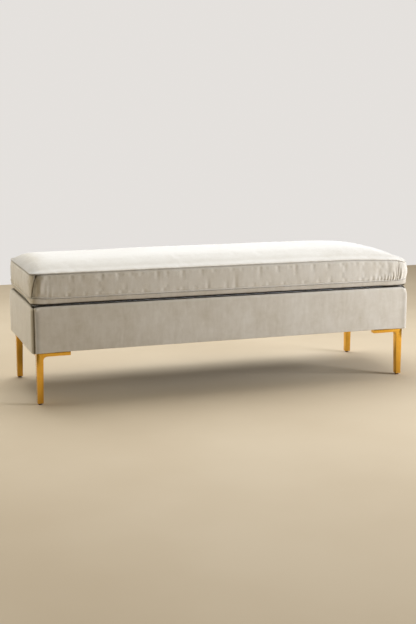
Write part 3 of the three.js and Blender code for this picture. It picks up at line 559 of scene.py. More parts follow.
def border_cloth(side):
    """The velvet of one side, from its flange under the rails up the face to its return on the deck."""
    long_side = side in ("front", "rear")
    columns = LONG_COLUMNS if long_side else SHORT_COLUMNS
    half = side_half(side, LONG_WRAP if long_side else SHORT_WRAP)

    def place(column, row):
        run, from_seam = graded(column, columns, half, BORDER_COLUMNS)
        inset, height, out, up = border_section(row)
        spot, away = side_plan(side, run, inset)
        spot.z = height
        middle = max(0.0, 1 - ((height - FACE_MIDDLE) / FACE_SWELL_HEIGHT) ** 2)
        ends = 1 - math.exp(-from_seam / FACE_SWELL_RUN)
        swell = FACE_SWELL * middle * ends
        swell += FACE_WANDER * noise.noise(Vector((spot.x * 7, spot.y * 7, spot.z * 9)))
        crease = CORNER_CREASE[-1 if spot.x < 0 else 1]
        if long_side:
            fold = FOLD_RADIUS * max(0.0, 1 - from_seam / FOLD_RADIUS) ** 2
            beside = math.exp(-((from_seam - EAR_FROM_SEAM) / EAR_REACH) ** 2)
            ear = math.exp(-((height - EAR_HEIGHT) / EAR_REACH) ** 2) * beside
            swell += FOLD_PROUD * math.exp(-from_seam / FOLD_PROUD_REACH) - fold * crease + EAR_SIZE * ear
            # Painted shade beside the corner fold and along its stitches.
            shading_amount = BESIDE_FOLD_SHADE * beside * max(0.0, out - 2 * ear)
            shading_amount += STITCH_SHADE * math.exp(-from_seam / STITCH_REACH)
        else:
            swell -= UNDER_FOLD * crease * math.exp(-from_seam / UNDER_FOLD_REACH)
            # Painted shade where the end piece tucks in under the fold.
            shading_amount = TUCK_CREVICE_SHADE * math.exp(-from_seam / TUCK_REACH)
            shading_amount += TUCK_SHADE * math.exp(-from_seam / TUCK_SHADE_REACH)
        # A painted highlight along the upper round.
        at_edge = math.exp(-((height - EDGE_HIGHLIGHT_HEIGHT) / EDGE_HIGHLIGHT_REACH) ** 2) * eased(out, *EDGE_HIGHLIGHT_OUT)
        shading_amount = shading_amount * crease + EDGE_PAINTED_HIGHLIGHT * at_edge
        # Painted shadow on the return under the cushion's edge, where the pile is also pressed.
        shadow_here = GAP_SHADOW
        if not long_side:
            shadow_here += (GAP_SHADOW_AT_ENDS - GAP_SHADOW) * eased(from_seam, *GAP_SHADOW_CORNER)
        if up > 0:
            shading_amount += shadow_here * eased(inset, *GAP_SHADOW_START) * (1 - eased(inset, *GAP_SHADOW_END))
        moved = spot + away * out * swell
        low = max(0.0, 1 - (height - BORDER_BOTTOM) / CORNER_HANG_HEIGHT)
        from_corner = side_half(side, MITRE_TURN) - abs(run)
        hang = math.exp(-(from_corner / CORNER_HANG_REACH) ** 2)
        moved.z -= CORNER_HANG * hang * low * (1 - eased(inset, *CORNER_HANG_END))
        moved += corner_sink(side, spot, run, away, inset)
        return moved, away * out + Vector((0, 0, up)), shading_amount

    return woven_grid(columns, BORDER_ROWS, place)


def shade_pressed_faces(piece):
    """Gives a shaded copy of the velvet, without sheen, to the faces in heavy painted shade: the seams, and the gap
    under the cushion, where the pile is also pressed flat.
    """
    piece.data.materials.append(SHADED_VELVET)
    painted_shading = piece.data.attributes["painted_shading"].data
    for face in piece.data.polygons:
        face.material_index = int(min(painted_shading[corner].value for corner in face.vertices) > SHADED_FROM)
    return piece


for side in SIDES:
    cloth = add_piece(border_cloth(side), f"{side}_border_velvet", VELVET, "base", "velvet", f"cover_{side}")
    thicken(shade_pressed_faces(cloth), CLOTH_THICKNESS)

# Deck cover. Plain cotton duck in the velvet's colour, sewn to the border's return all round, where the loose cushion
# hides it.
DUCK_PALE = (0.60, 0.53, 0.42, 1)
DUCK_DEEP = (0.42, 0.36, 0.27, 1)
THREAD_PITCH = 0.0011
WAVE_SCALE_METRE = math.pi / 10
DECK_WANDER = 0.00012

weave, given = surface_effect("plain weave", {
    "Raised": DUCK_PALE, "Sunk": DUCK_DEEP, "Wave Scale": WAVE_SCALE_METRE / THREAD_PITCH,
})
warp = add_node(weave, "ShaderNodeTexWave", {
    "Vector": given["Place"], "Scale": given["Wave Scale"], "Distortion": 0.6, "Detail": 1.0,
}, bands_direction="X").outputs[1]
weft = add_node(weave, "ShaderNodeTexWave", {
    "Vector": given["Place"], "Scale": given["Wave Scale"], "Distortion": 0.6, "Detail": 1.0,
}, bands_direction="Y").outputs[1]
over = add_node(weave, "ShaderNodeTexChecker", {
    "Vector": given["Place"], "Scale": 1 / THREAD_PITCH, "Color1": (1, 1, 1, 1), "Color2": (0, 0, 0, 1),
}).outputs["Fac"]
thread = mixed(weave, over, warp, weft)
slub = cloudy(weave, stretched(weave, given["Place"], (6.0, 90.0, 90.0)), 1.0, 3.0)
raised = summed(weave, summed(weave, thread, 0.8, "MULTIPLY"), summed(weave, slub, 0.3, "MULTIPLY"))
add_node(weave, "NodeGroupOutput", {
    "Color": mixed(weave, raised, given["Sunk"], given["Raised"]),
    "Roughness": fitted(weave, slub, 0.3, 0.7, 0.95, 0.85),
    "Height": raised,
})
DUCK = finished("cotton duck", weave, {}, bump=0.5, depth=0.0004, shader={
    "Sheen Weight": 0.15, "Specular IOR Level": 0.2,
})


def flat_cloth(low, high, columns, rows, up, sag):
    """A stretched flat cloth. sag says how far a place on it moves along the way that it faces."""
    height = high.z if up > 0 else low.z

    def place(column, row):
        spot = Vector((
            low.x + (high.x - low.x) * column / columns, low.y + (high.y - low.y) * row / rows, height,
        ))
        spot.z += up * sag(spot)
        return spot, Vector((0, 0, up))

    return woven_grid(columns, rows, place)


deck_low, deck_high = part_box("deck_cover")
deck_cloth = flat_cloth(
    deck_low, deck_high, 96, 32, 1, lambda spot: DECK_WANDER * (noise.noise(spot * 14) - 1),
)
deck_cloth = add_piece(deck_cloth, "deck_duck", DUCK, "base", "deck_cloth", "deck_cover")
thicken(deck_cloth, deck_high.z - deck_low.z - DECK_WANDER)

# Dust cover. Black spun-bonded cloth under the base, folded at its edge and stapled to the rails through the
# velvet's flange with fine wire staples.
DUST_BLACK = (0.018, 0.017, 0.016, 1)
DUST_GREY = (0.055, 0.053, 0.050, 1)
DUST_SAG = 0.0030
DUST_RIPPLE = 0.25
STAPLE_CROWN = 0.0105
STAPLE_WIRE = 0.0009
STAPLE_WIDTH = 0.00117
STAPLE_EDGE_ROUND = 0.3
STAPLE_SPACING = 0.046
STAPLE_EDGE = 0.007
STAPLE_CLEAR = 0.150
STAPLE_ASKEW = 0.35
STEEL_GREY = (0.56, 0.56, 0.55, 1)
STEEL_DULL = (0.38, 0.38, 0.37, 1)

web, given = surface_effect("spun-bonded web", {"Black": DUST_BLACK, "Grey": DUST_GREY})
fibre_web = cloudy(web, given["Place"], 260.0, 6.0, 3.0)
pressed = add_node(web, "ShaderNodeTexVoronoi", {
    "Vector": given["Place"], "Scale": 480.0, "Randomness": 0.15,
}).outputs["Distance"]
bonded = fitted(web, pressed, 0.15, 0.45)
shine = summed(web, fitted(web, fibre_web, 0.35, 0.65), bonded, "MULTIPLY")
add_node(web, "NodeGroupOutput", {
    "Color": mixed(web, shine, given["Black"], given["Grey"]),
    "Roughness": fitted(web, bonded, 0, 1, 0.55, 0.9),
    "Height": summed(web, bonded, fibre_web),
})
DUST_CLOTH = finished("spun-bonded dust cloth", web, {}, bump=0.4, depth=0.0003, shader={"Specular IOR Level": 0.3})

metal, given = surface_effect("handled metal", {
    "Metal": STEEL_GREY, "Dull": STEEL_DULL, "Gloss": 0.25, "Brushing": 0.3, "Smears": 0.7,
})
smears = cloudy(metal, given["Place"], 26.0, 4.0, 1.2)
brushing = cloudy(metal, stretched(metal, given["Place"], (900.0, 900.0, 18.0)), 1.0, 3.0)
smeared = summed(metal, fitted(metal, smears, 0.35, 0.7), given["Smears"], "MULTIPLY")
marks = summed(metal, smeared, summed(metal, brushing, given["Brushing"], "MULTIPLY"))
add_node(metal, "NodeGroupOutput", {
    "Color": mixed(metal, marks, given["Metal"], given["Dull"]),
    "Roughness": summed(metal, given["Gloss"], fitted(metal, marks, 0, 1, -0.04, 0.14)),
    "Height": brushing,
})
STEEL = finished("zinc-plated steel", metal, {"Gloss": 0.32}, bump=0.08, depth=0.0001, shader={"Metallic": 1.0})

dust_low, dust_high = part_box("dust_cover")


def dust_sag(spot):
    """How far the dust cloth hangs down at a place, most in its middle."""
    across = (1 - (spot.x / dust_high.x) ** 2) * (1 - (spot.y / dust_high.y) ** 2)
    ripple = 1 + DUST_RIPPLE * noise.noise(Vector((spot.x * 9, spot.y * 9, 0.3)))
    return DUST_SAG * across ** 2 * ripple


dust_cloth = flat_cloth(dust_low, dust_high, 120, 40, -1, dust_sag)
dust_cloth = add_piece(dust_cloth, "underside_dust_cloth", DUST_CLOTH, "base", "dust_cloth", "dust_cover")
thicken(dust_cloth, dust_high.z - dust_low.z)


def staple_run(bm, start, end, chance):
    """A run of staples, each a crown of flat wire that lies a little askew and presses into the cloth."""
    run = end - start
    count = int(run.length / STAPLE_SPACING)
    for number in range(count + 1):
        spot = start + run * number / count
        angle = math.atan2(run.y, run.x) + chance.uniform(-STAPLE_ASKEW, STAPLE_ASKEW)
        put = Matrix.Translation(spot) @ Matrix.Rotation(angle, 4, "Z")
        made = bmesh.ops.create_cube(bm, size=1)["verts"]
        bmesh.ops.scale(bm, vec=(STAPLE_CROWN, STAPLE_WIDTH, STAPLE_WIRE), verts=made)
        bmesh.ops.transform(bm, matrix=put, verts=made)


staples = bmesh.new()
chance = random.Random(5)
edge_x, edge_y = dust_high.x - STAPLE_EDGE, dust_high.y - STAPLE_EDGE
staple_z = dust_low.z
for sign in (-1, 1):
    staple_run(
        staples, Vector((-edge_x + STAPLE_CLEAR, sign * edge_y, staple_z)),
        Vector((edge_x - STAPLE_CLEAR, sign * edge_y, staple_z)), chance,
    )
    staple_run(
        staples, Vector((sign * edge_x, -edge_y + STAPLE_CLEAR, staple_z)),
        Vector((sign * edge_x, edge_y - STAPLE_CLEAR, staple_z)), chance,
    )
bmesh.ops.bevel(
    staples, geom=staples.edges[:], offset=STAPLE_WIRE * STAPLE_EDGE_ROUND, offset_type="OFFSET", segments=1,
    profile=0.5, affect="EDGES", material=-1,
)
add_piece(staples, "underside_staples", STEEL, "base", "steel")

# Legs. Each is one solid brass casting, ground and polished: a square post that tapers to its foot, and two flat arms
# that carry the base's corner, each drilled and countersunk for two wood screws.
BRASS_GOLD = (0.89, 0.515, 0.086, 1)
BRASS_DEEP = (0.62, 0.31, 0.040, 1)
LEG_LOW, LEG_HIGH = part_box("leg_front_left")
LEG_CORNER = Vector((LEG_LOW.x, LEG_LOW.y, 0))
ARM_LENGTH = LEG_HIGH.x - LEG_LOW.x
ARM_THICKNESS = 0.015
ARM_BOTTOM = LEG_HIGH.z - ARM_THICKNESS
POST_TOP = 0.025
POST_FOOT = 0.0215
ARM_FILLET = 0.014
FILLET_STEPS = 12
LEG_EDGE = 0.0007
SCREW_DISTANCES = (0.055, 0.105)
SCREW_HEAD = 0.0044
SCREW_SHANK = 0.0021
SCREW_HEAD_HEIGHT = 0.0026
SCREW_LENGTH = 0.035
SCREW_TIP = 0.006
ROOM = 0.0003
HOLE_SIDES = 32
SHANK_SIDES = 24
LEVELLER_PLACE = POST_FOOT / 2
STUD_RADIUS = 0.004
CRISP_OVER = math.radians(35)
LEG_TURNS = {"front_left": 0, "front_right": 1, "rear_right": 2, "rear_left": 3}

BRASS = finished("polished brass", metal, {
    "Metal": BRASS_GOLD, "Dull": BRASS_DEEP, "Gloss": 0.14, "Brushing": 0.16, "Smears": 0.3,
}, bump=0.05, depth=0.0001, shader={"Metallic": 1.0})


def prism(outline, axis, depth):
    """A flat outline in the plane across an axis, extruded along that axis."""
    bm = bmesh.new()
    across = {"y": lambda a, b: (a, 0, b), "x": lambda a, b: (0, a, b), "z": lambda a, b: (a, b, 0)}[axis]
    face = bm.faces.new([bm.verts.new(across(*point)) for point in outline])
    top = bmesh.ops.extrude_face_region(bm, geom=[face])["geom"]
    moved = [item for item in top if isinstance(item, bmesh.types.BMVert)]
    step = {"x": (depth, 0, 0), "y": (0, depth, 0), "z": (0, 0, depth)}[axis]
    bmesh.ops.translate(bm, vec=step, verts=moved)
    bmesh.ops.recalc_face_normals(bm, faces=bm.faces)
    return bm


def turned(profile, steps):
    """A piece turned on the Z axis, from its profile of radius and height."""
    bm = bmesh.new()
    line = [bm.verts.new((radius, 0, height)) for radius, height in profile]
    edges = [bm.edges.new(pair) for pair in zip(line, line[1:])]
    bmesh.ops.spin(
        bm, geom=line + edges, cent=(0, 0, 0), axis=(0, 0, 1), dvec=(0, 0, 0), angle=2 * math.pi, steps=steps,
        use_merge=True,
    )
    bmesh.ops.remove_doubles(bm, verts=bm.verts, dist=SAME_PLACE)
    bmesh.ops.recalc_face_normals(bm, faces=bm.faces)
    return bm


def combined(first, operation, second):
    """What is left when one mesh is cut by, or kept inside, another."""
    objects = []
    for number, bm in enumerate((first, second)):
        mesh = bpy.data.meshes.new(f"workpiece {number}")
        bm.to_mesh(mesh)
        bm.free()
        made = bpy.data.objects.new(mesh.name, mesh)
        bpy.context.scene.collection.objects.link(made)
        objects.append(made)
    cut = objects[0].modifiers.new("cut", "BOOLEAN")
    cut.object, cut.operation, cut.solver = objects[1], operation, "EXACT"
    result = bmesh.new()
    result.from_object(objects[0], bpy.context.evaluated_depsgraph_get())
    for made in objects:
        mesh = made.data
        bpy.data.objects.remove(made)
        bpy.data.meshes.remove(mesh)
    return result


def soften(bm, width, segments):
    """Rounds the sharp edges of a solid."""
    bmesh.ops.dissolve_limit(bm, angle_limit=FLAT_WITHIN, verts=bm.verts, edges=bm.edges)
    sharp = [edge for edge in bm.edges if len(edge.link_faces) == 2 and edge.calc_face_angle() > SHARP_OVER]
    bmesh.ops.bevel(
        bm, geom=sharp, offset=width, offset_type="OFFSET", segments=segments, profile=0.5, affect="EDGES",
        clamp_overlap=True, material=-1,
    )
    return bm


def leg_side():
    """The leg seen from the side: post, fillet and arm."""
    centre_x, centre_z = POST_TOP + ARM_FILLET, ARM_BOTTOM - ARM_FILLET
    fillet = []
    for step in range(FILLET_STEPS + 1):
        angle = step / FILLET_STEPS * math.pi / 2
        fillet.append((centre_x - ARM_FILLET * math.cos(angle), centre_z + ARM_FILLET * math.sin(angle)))
    return [
        (0, LEG_LOW.z), (POST_FOOT, LEG_LOW.z), *fillet, (ARM_LENGTH, ARM_BOTTOM), (ARM_LENGTH, LEG_HIGH.z),
        (0, LEG_HIGH.z),
    ]


def leg_casting():
    """The leg with its outer corner on the Z axis and its arms along X and Y."""
    body = combined(prism(leg_side(), "y", ARM_LENGTH), "INTERSECT", prism(leg_side(), "x", ARM_LENGTH))
    plan = [
        (0, 0), (ARM_LENGTH, 0), (ARM_LENGTH, POST_TOP), (POST_TOP, POST_TOP), (POST_TOP, ARM_LENGTH), (0, ARM_LENGTH),
    ]
    body = combined(body, "INTERSECT", prism(plan, "z", LEG_HIGH.z + ROOM))
    for spot in screw_spots():
        hole = turned([
            (0, -ROOM), (SCREW_HEAD + ROOM, -ROOM), (SCREW_HEAD + ROOM, 0), (SCREW_SHANK + ROOM, SCREW_HEAD_HEIGHT),
            (SCREW_SHANK + ROOM, ARM_THICKNESS + ROOM), (0, ARM_THICKNESS + ROOM),
        ], HOLE_SIDES)
        bmesh.ops.translate(hole, vec=spot, verts=hole.verts)
        body = combined(body, "DIFFERENCE", hole)
    stud_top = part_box("leveller_stud_front_left")[1].z + ROOM
    stud_wall = STUD_RADIUS + ROOM
    stud_hole = turned([(0, 0), (stud_wall, 0), (stud_wall, stud_top), (0, stud_top)], HOLE_SIDES)
    bmesh.ops.translate(stud_hole, vec=(LEVELLER_PLACE, LEVELLER_PLACE, 0), verts=stud_hole.verts)
    return soften(combined(body, "DIFFERENCE", stud_hole), LEG_EDGE, 3)


def screw_spots():
    """Where a leg's screws stand, the first arm's and the second arm's in turn."""
    middle = POST_TOP / 2
    return [
        spot for distance in SCREW_DISTANCES
        for spot in (Vector((distance, middle, ARM_BOTTOM)), Vector((middle, distance, ARM_BOTTOM)))
    ]


def to_corner(turns):
    """From the leg's own frame to its corner of the bench."""
    return Matrix.Rotation(turns * math.pi / 2, 4, "Z")


def at_corner(bm, turns):
    """A copy of a leg's piece, turned and moved to its corner."""
    copy = bm.copy()
    corner = LEG_CORNER.copy()
    if turns in (1, 2):
        corner.x = -corner.x
    if turns in (2, 3):
        corner.y = -corner.y
    put = Matrix.Translation(corner) @ to_corner(turns)
    bmesh.ops.transform(copy, matrix=put, verts=copy.verts)
    return copy


def shade_by_angle(piece):
    """Smooth faces with crisp corners."""
    piece.data.set_sharp_from_angle(angle=CRISP_OVER)


casting = leg_casting()
for corner_name, turns in LEG_TURNS.items():
    leg = add_piece(at_corner(casting, turns), f"brass_leg_{corner_name}", BRASS, "base", "brass", f"leg_{corner_name}")
    shade_by_angle(leg)
casting.free()

# Leg screws. Brass countersunk wood screws with a cross recess, driven from below through the arms, the cloths and
# the velvet's flange into the rails.
THREAD_HEIGHT = 0.0005
THREAD_ROOT = 0.0003
THREAD_HALF = 0.3
THREAD_STEPS = 12
WOOD_THREAD_PITCH = 0.0021
RECESS_WIDTH = 0.0011
RECESS_LENGTH = 0.0046
RECESS_DEPTH = 0.0018
RECESS_TAPER = 0.5


def thread(bm, radius, bottom, top, pitch):
    """A raised thread, wound once up a shank."""
    turns = (top - bottom) / pitch
    half = pitch * THREAD_HALF
    corners = [bm.verts.new(spot) for spot in (
        (radius - THREAD_ROOT, 0, bottom - half), (radius + THREAD_HEIGHT, 0, bottom),
        (radius - THREAD_ROOT, 0, bottom + half),
    )]
    section = bm.faces.new(corners)
    steps = int(turns * THREAD_STEPS)
    bmesh.ops.spin(
        bm, geom=[section], cent=(0, 0, 0), axis=(0, 0, 1), dvec=(0, 0, pitch / THREAD_STEPS),
        angle=steps * 2 * math.pi / THREAD_STEPS, steps=steps,
    )


def wood_screw():
    """A countersunk screw with its head at the origin and its point up."""
    body = turned([
        (0, 0), (SCREW_HEAD - ROOM, 0), (SCREW_HEAD, ROOM), (SCREW_SHANK, SCREW_HEAD_HEIGHT),
        (SCREW_SHANK, SCREW_LENGTH - SCREW_TIP), (0, SCREW_LENGTH),
    ], SHANK_SIDES)
    recess = bmesh.new()
    for size in ((RECESS_LENGTH, RECESS_WIDTH), (RECESS_WIDTH, RECESS_LENGTH)):
        made = bmesh.ops.create_cube(recess, size=1)["verts"]
        bmesh.ops.scale(recess, vec=(*size, 2 * RECESS_DEPTH), verts=made)
        for vertex in made:
            if vertex.co.z > 0:
                vertex.co.x *= RECESS_TAPER
                vertex.co.y *= RECESS_TAPER
    body = combined(body, "DIFFERENCE", recess)
    thread(body, SCREW_SHANK, SCREW_HEAD_HEIGHT * 2, SCREW_LENGTH - SCREW_TIP, WOOD_THREAD_PITCH)
    bmesh.ops.recalc_face_normals(body, faces=body.faces)
    return body


screw = wood_screw()
for corner_name, turns in LEG_TURNS.items():
    arms = ("side", "end") if turns % 2 == 0 else ("end", "side")
    names = [f"{arm}_{place}" for place in ("inner", "outer") for arm in arms]
    for spot, place_name in zip(screw_spots(), names):
        placed = screw.copy()
        bmesh.ops.translate(placed, vec=spot, verts=placed.verts)
        at_home = at_corner(placed, turns)
        placed.free()
        name = f"{corner_name}_{place_name}"
        made = add_piece(at_home, f"wood_screw_{name}", BRASS, "base", "brass", f"leg_screw_{name}")
        shade_by_angle(made)
screw.free()

# Levellers. A zinc-plated threaded stud turns in each post and ends in a ribbed brown nylon foot, moulded on. Foot
# and stud turn as one, by hand, to level the bench on its floor.
NYLON_BROWN = (0.075, 0.045, 0.026, 1)
NYLON_WORN = (0.16, 0.11, 0.07, 1)
STUD_CORE = 0.0034
STUD_PITCH = 0.00125
FOOT_RIBS = 30
FOOT_RIB_DEPTH = 0.00025
FOOT_EDGE = 0.0008
FOOT_ROLL = 0.00024

moulded, given = surface_effect("moulded nylon", {"Fresh": NYLON_BROWN, "Worn": NYLON_WORN})
scuffs = cloudy(moulded, given["Place"], 210.0, 5.0, 1.0)
skin = cloudy(moulded, given["Place"], 2600.0, 2.0)
add_node(moulded, "NodeGroupOutput", {
    "Color": mixed(moulded, fitted(moulded, scuffs, 0.5, 0.75), given["Fresh"], given["Worn"]),
    "Roughness": fitted(moulded, scuffs, 0.3, 0.7, 0.42, 0.65),
    "Height": skin,
})
NYLON = finished("brown nylon", moulded, {}, bump=0.2, depth=0.0002, shader={"Specular IOR Level": 0.5})


def leveller_stud(low, high):
    """A threaded stud with a small chamfer at both ends."""
    core = turned([
        (0, low), (STUD_CORE - ROOM, low), (STUD_CORE, low + ROOM), (STUD_CORE, high - ROOM),
        (STUD_CORE - ROOM, high), (0, high),
    ], SHANK_SIDES)
    thread(core, STUD_CORE, low + STUD_PITCH, high - STUD_PITCH, STUD_PITCH)
    bmesh.ops.recalc_face_normals(core, faces=core.faces)
    return core


def leveller_foot(low, high, radius):
    """A round foot with a rolled edge, ribs round its side and a socket for the stud."""
    socket = STUD_RADIUS + ROOM
    socket_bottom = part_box("leveller_stud_front_left")[0].z - ROOM
    foot = turned([
        (0, low), (radius - FOOT_EDGE, low), (radius - FOOT_ROLL, low + FOOT_ROLL),
        (radius, low + FOOT_EDGE), (radius, high - FOOT_EDGE), (radius - FOOT_ROLL, high - FOOT_ROLL),
        (radius - FOOT_EDGE, high), (socket, high), (socket, socket_bottom), (0, socket_bottom),
    ], 2 * FOOT_RIBS)
    for vertex in foot.verts:
        outside = Vector((vertex.co.x, vertex.co.y)).length > radius - FOOT_ROLL / 2
        turn = math.atan2(vertex.co.y, vertex.co.x) * FOOT_RIBS / math.pi
        if outside and round(turn) % 2:
            vertex.co.x *= 1 - FOOT_RIB_DEPTH / radius
            vertex.co.y *= 1 - FOOT_RIB_DEPTH / radius
    return foot


for corner_name, turns in LEG_TURNS.items():
    stud_low, stud_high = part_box(f"leveller_stud_{corner_name}")
    foot_low, foot_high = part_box(f"leveller_foot_{corner_name}")
    centre = (foot_low + foot_high) / 2
    body = f"leveller_{corner_name}"
    stud = leveller_stud(stud_low.z, stud_high.z)
    bmesh.ops.translate(stud, vec=(centre.x, centre.y, 0), verts=stud.verts)
    made = add_piece(stud, f"threaded_stud_{corner_name}", STEEL, body, "steel", f"leveller_stud_{corner_name}")
    shade_by_angle(made)
    foot = leveller_foot(foot_low.z, foot_high.z, (foot_high.x - foot_low.x) / 2)
    bmesh.ops.translate(foot, vec=(centre.x, centre.y, 0), verts=foot.verts)
    made = add_piece(foot, f"nylon_foot_{corner_name}", NYLON, body, "foot_plastic", f"leveller_foot_{corner_name}")
    shade_by_angle(made)

# Cushion filling. One block of foam, cut crowned above and below, with a layer of soft wadding over it and another
# under it, so that the cover looks full.
BOXING_LOW, BOXING_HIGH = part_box("cushion_boxing")
PANEL_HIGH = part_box("cushion_top_panel")[1]
PANEL_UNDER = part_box("cushion_bottom_panel")[0]
SEAM_HALF_X = PANEL_HIGH.x
SEAM_HALF_Y = PANEL_HIGH.y
TOP_SEAM = BOXING_HIGH.z
BOTTOM_SEAM = BOXING_LOW.z
TOP_CROWN = PANEL_HIGH.z - TOP_SEAM
BOTTOM_CROWN = BOTTOM_SEAM - PANEL_UNDER.z
TOP_CROWN_POWERS = (16, 4)
BOTTOM_CROWN_POWERS = (48, 16)
CUSHION_CORNER = 0.028
ARC_X = SEAM_HALF_X - CUSHION_CORNER
ARC_Y = SEAM_HALF_Y - CUSHION_CORNER
DRAW_IN = 0.004
END_DRAW_IN = 0.003
REAR_STRAIGHT = 0.69925
END_DROOP = 0.0100
END_DROOP_START = 0.480
LEFT_CROWN_POWER = 36
LEFT_SAG = 0.08
LEFT_SAG_RUN = (0.20, 0.55)
SLUMP_POWER = 1.5
SLUMPED_CORNERS = {
    (-1, -1): {"reach": 0.050, "top_in": 0.0010, "bottom_in": 0.0010, "bulge": 0.000, "drop": 0.0010, "lift": 0.0055},
    (-1, 1): {"reach": 0.075, "top_in": 0.0080, "bottom_in": 0.0050, "bulge": -0.001, "drop": 0.0005, "lift": 0.0095},
    (1, -1): {"reach": 0.038, "top_in": 0.0070, "bottom_in": 0.0020, "bulge": 0.0085, "drop": 0.0105, "lift": 0.0050},
    (1, 1): {"reach": 0.050, "top_in": 0.0050, "bottom_in": 0.0020, "bulge": 0.003, "drop": 0.0080, "lift": 0.0030},
}
FILLING_INSET = 0.0095
WRAP_OUTER_DEPTH = 0.0065
WRAP_THICKNESS = 0.0075
FOAM_DEPTH = 0.0165
FOAM_CELL = 0.024
ON_FACE = 0.999


def cushion_plan(x, y):
    """A place of the cushion's square plan, with its corners rounded and its sides drawn in between them."""
    over_x = (abs(x) - ARC_X) / CUSHION_CORNER
    over_y = (abs(y) - ARC_Y) / CUSHION_CORNER
    if over_x > 0 and over_y > 0:
        x = math.copysign(ARC_X + CUSHION_CORNER * over_x * math.sqrt(1 - over_y ** 2 / 2), x)
        y = math.copysign(ARC_Y + CUSHION_CORNER * over_y * math.sqrt(1 - over_x ** 2 / 2), y)
    return drawn_in(x, y)


def drawn_in(x, y):
    """A place of the plan with the sides drawn in between the corners, the rear only beside its zip."""
    end_bow = max(0.0, 1 - (y / ARC_Y) ** 2)
    bow = 1 - eased(abs(x), REAR_STRAIGHT, ARC_X) if y > 0 else max(0.0, 1 - (x / ARC_X) ** 2)
    return Vector((x * (1 - END_DRAW_IN * end_bow / SEAM_HALF_X), y * (1 - DRAW_IN * bow / SEAM_HALF_Y), 0))


def crown_share(x, y, powers):
    """How much of a crown stands at a place of the plan."""
    along = min(1.0, abs(x) / SEAM_HALF_X) ** (powers[0] if x > 0 else max(LEFT_CROWN_POWER, powers[0]))
    across = min(1.0, abs(y) / SEAM_HALF_Y) ** powers[1]
    return (1 - along) * (1 - across) * (1 - LEFT_SAG * eased(-x, *LEFT_SAG_RUN))


def slump(x, y, level):
    """How the cushion has sagged at a place: its right end lower, its corners pulled in, dropped at the top seam or
    curled up at the bottom one."""
    corner = SLUMPED_CORNERS[(-1 if x < 0 else 1), (-1 if y < 0 else 1)]
    inwards = Vector((-math.copysign(1, x), -math.copysign(1, y), 0)).normalized()
    distance = Vector((abs(x) - SEAM_HALF_X, abs(y) - SEAM_HALF_Y)).length
    near = math.exp(-(distance / corner["reach"]) ** 2)
    pulled = corner["bottom_in"] + (corner["top_in"] - corner["bottom_in"]) * level
    pulled -= corner["bulge"] * 4 * level * (1 - level)
    drop = END_DROOP * eased(x, END_DROOP_START, SEAM_HALF_X) + corner["drop"] * near
    move = inwards * pulled * near
    move.z = corner["lift"] * near * (1 - level) ** SLUMP_POWER - drop * level ** SLUMP_POWER
    return move


def top_height(x, y):
    """How high the crown over the cushion stands at a place of the plan."""
    return TOP_SEAM + TOP_CROWN * crown_share(x, y, TOP_CROWN_POWERS)


def bottom_height(x, y):
    """How low the crown under the cushion hangs at a place of the plan."""
    return BOTTOM_SEAM - BOTTOM_CROWN * crown_share(x, y, BOTTOM_CROWN_POWERS)


def boxed_block(cell, inset, depth):
    """A closed block with the cushion's form, inset at its sides and thinner above and below by a depth."""
    bm = bmesh.new()
    bmesh.ops.create_cube(bm, size=2)
    extent = (2 * SEAM_HALF_X, 2 * SEAM_HALF_Y, TOP_SEAM - BOTTOM_SEAM)
    for axis in range(3):
        along = [edge for edge in bm.edges if abs(edge.verts[0].co[axis] - edge.verts[1].co[axis]) > 1]
        bmesh.ops.subdivide_edges(bm, edges=along, cuts=round(extent[axis] / cell) - 1, use_grid_fill=True)
    low, high = BOTTOM_SEAM + depth, TOP_SEAM - depth
    sewn = bm.verts.layers.int.new("sewn")
    for vertex in bm.verts:
        share_x, share_y, share_z = vertex.co
        vertex[sewn] = int(abs(share_z) > ON_FACE and max(abs(share_x), abs(share_y)) > ON_FACE)
        x, y = share_x * (SEAM_HALF_X - inset), share_y * (SEAM_HALF_Y - inset)
        place = cushion_plan(x, y)
        level = (share_z + 1) / 2
        place.z = low + (high - low) * level
        if level > ON_FACE:
            place.z += TOP_CROWN * crown_share(x, y, TOP_CROWN_POWERS)
        if level < 1 - ON_FACE:
            place.z -= BOTTOM_CROWN * crown_share(x, y, BOTTOM_CROWN_POWERS)
        vertex.co = place + slump(x, y, level)
    bmesh.ops.recalc_face_normals(bm, faces=bm.faces)
    return bm


foam_core = boxed_block(FOAM_CELL, FILLING_INSET, FOAM_DEPTH)
foam_core = add_piece(foam_core, "cushion_foam", FOAM, "cushion", "foam", "cushion_foam_core")


def wrap_sheet(up):
    """A layer of wadding over or under the foam."""
    columns, rows = 64, 24

    def place(column, row):
        x = (2 * column / columns - 1) * (SEAM_HALF_X - FILLING_INSET)
        y = (2 * row / rows - 1) * (SEAM_HALF_Y - FILLING_INSET)
        height = top_height(x, y) - WRAP_OUTER_DEPTH if up > 0 else bottom_height(x, y) + WRAP_OUTER_DEPTH
        spot = cushion_plan(x, y)
        spot.z = height
        return spot + slump(x, y, (up + 1) / 2), Vector((0, 0, up))

    return woven_grid(columns, rows, place)


for name, up in (("top", 1), ("bottom", -1)):
    layer = add_piece(wrap_sheet(up), f"cushion_{name}_wadding", WADDING, "cushion", "fibre", f"cushion_wrap_{name}")
    thicken(layer, WRAP_THICKNESS)

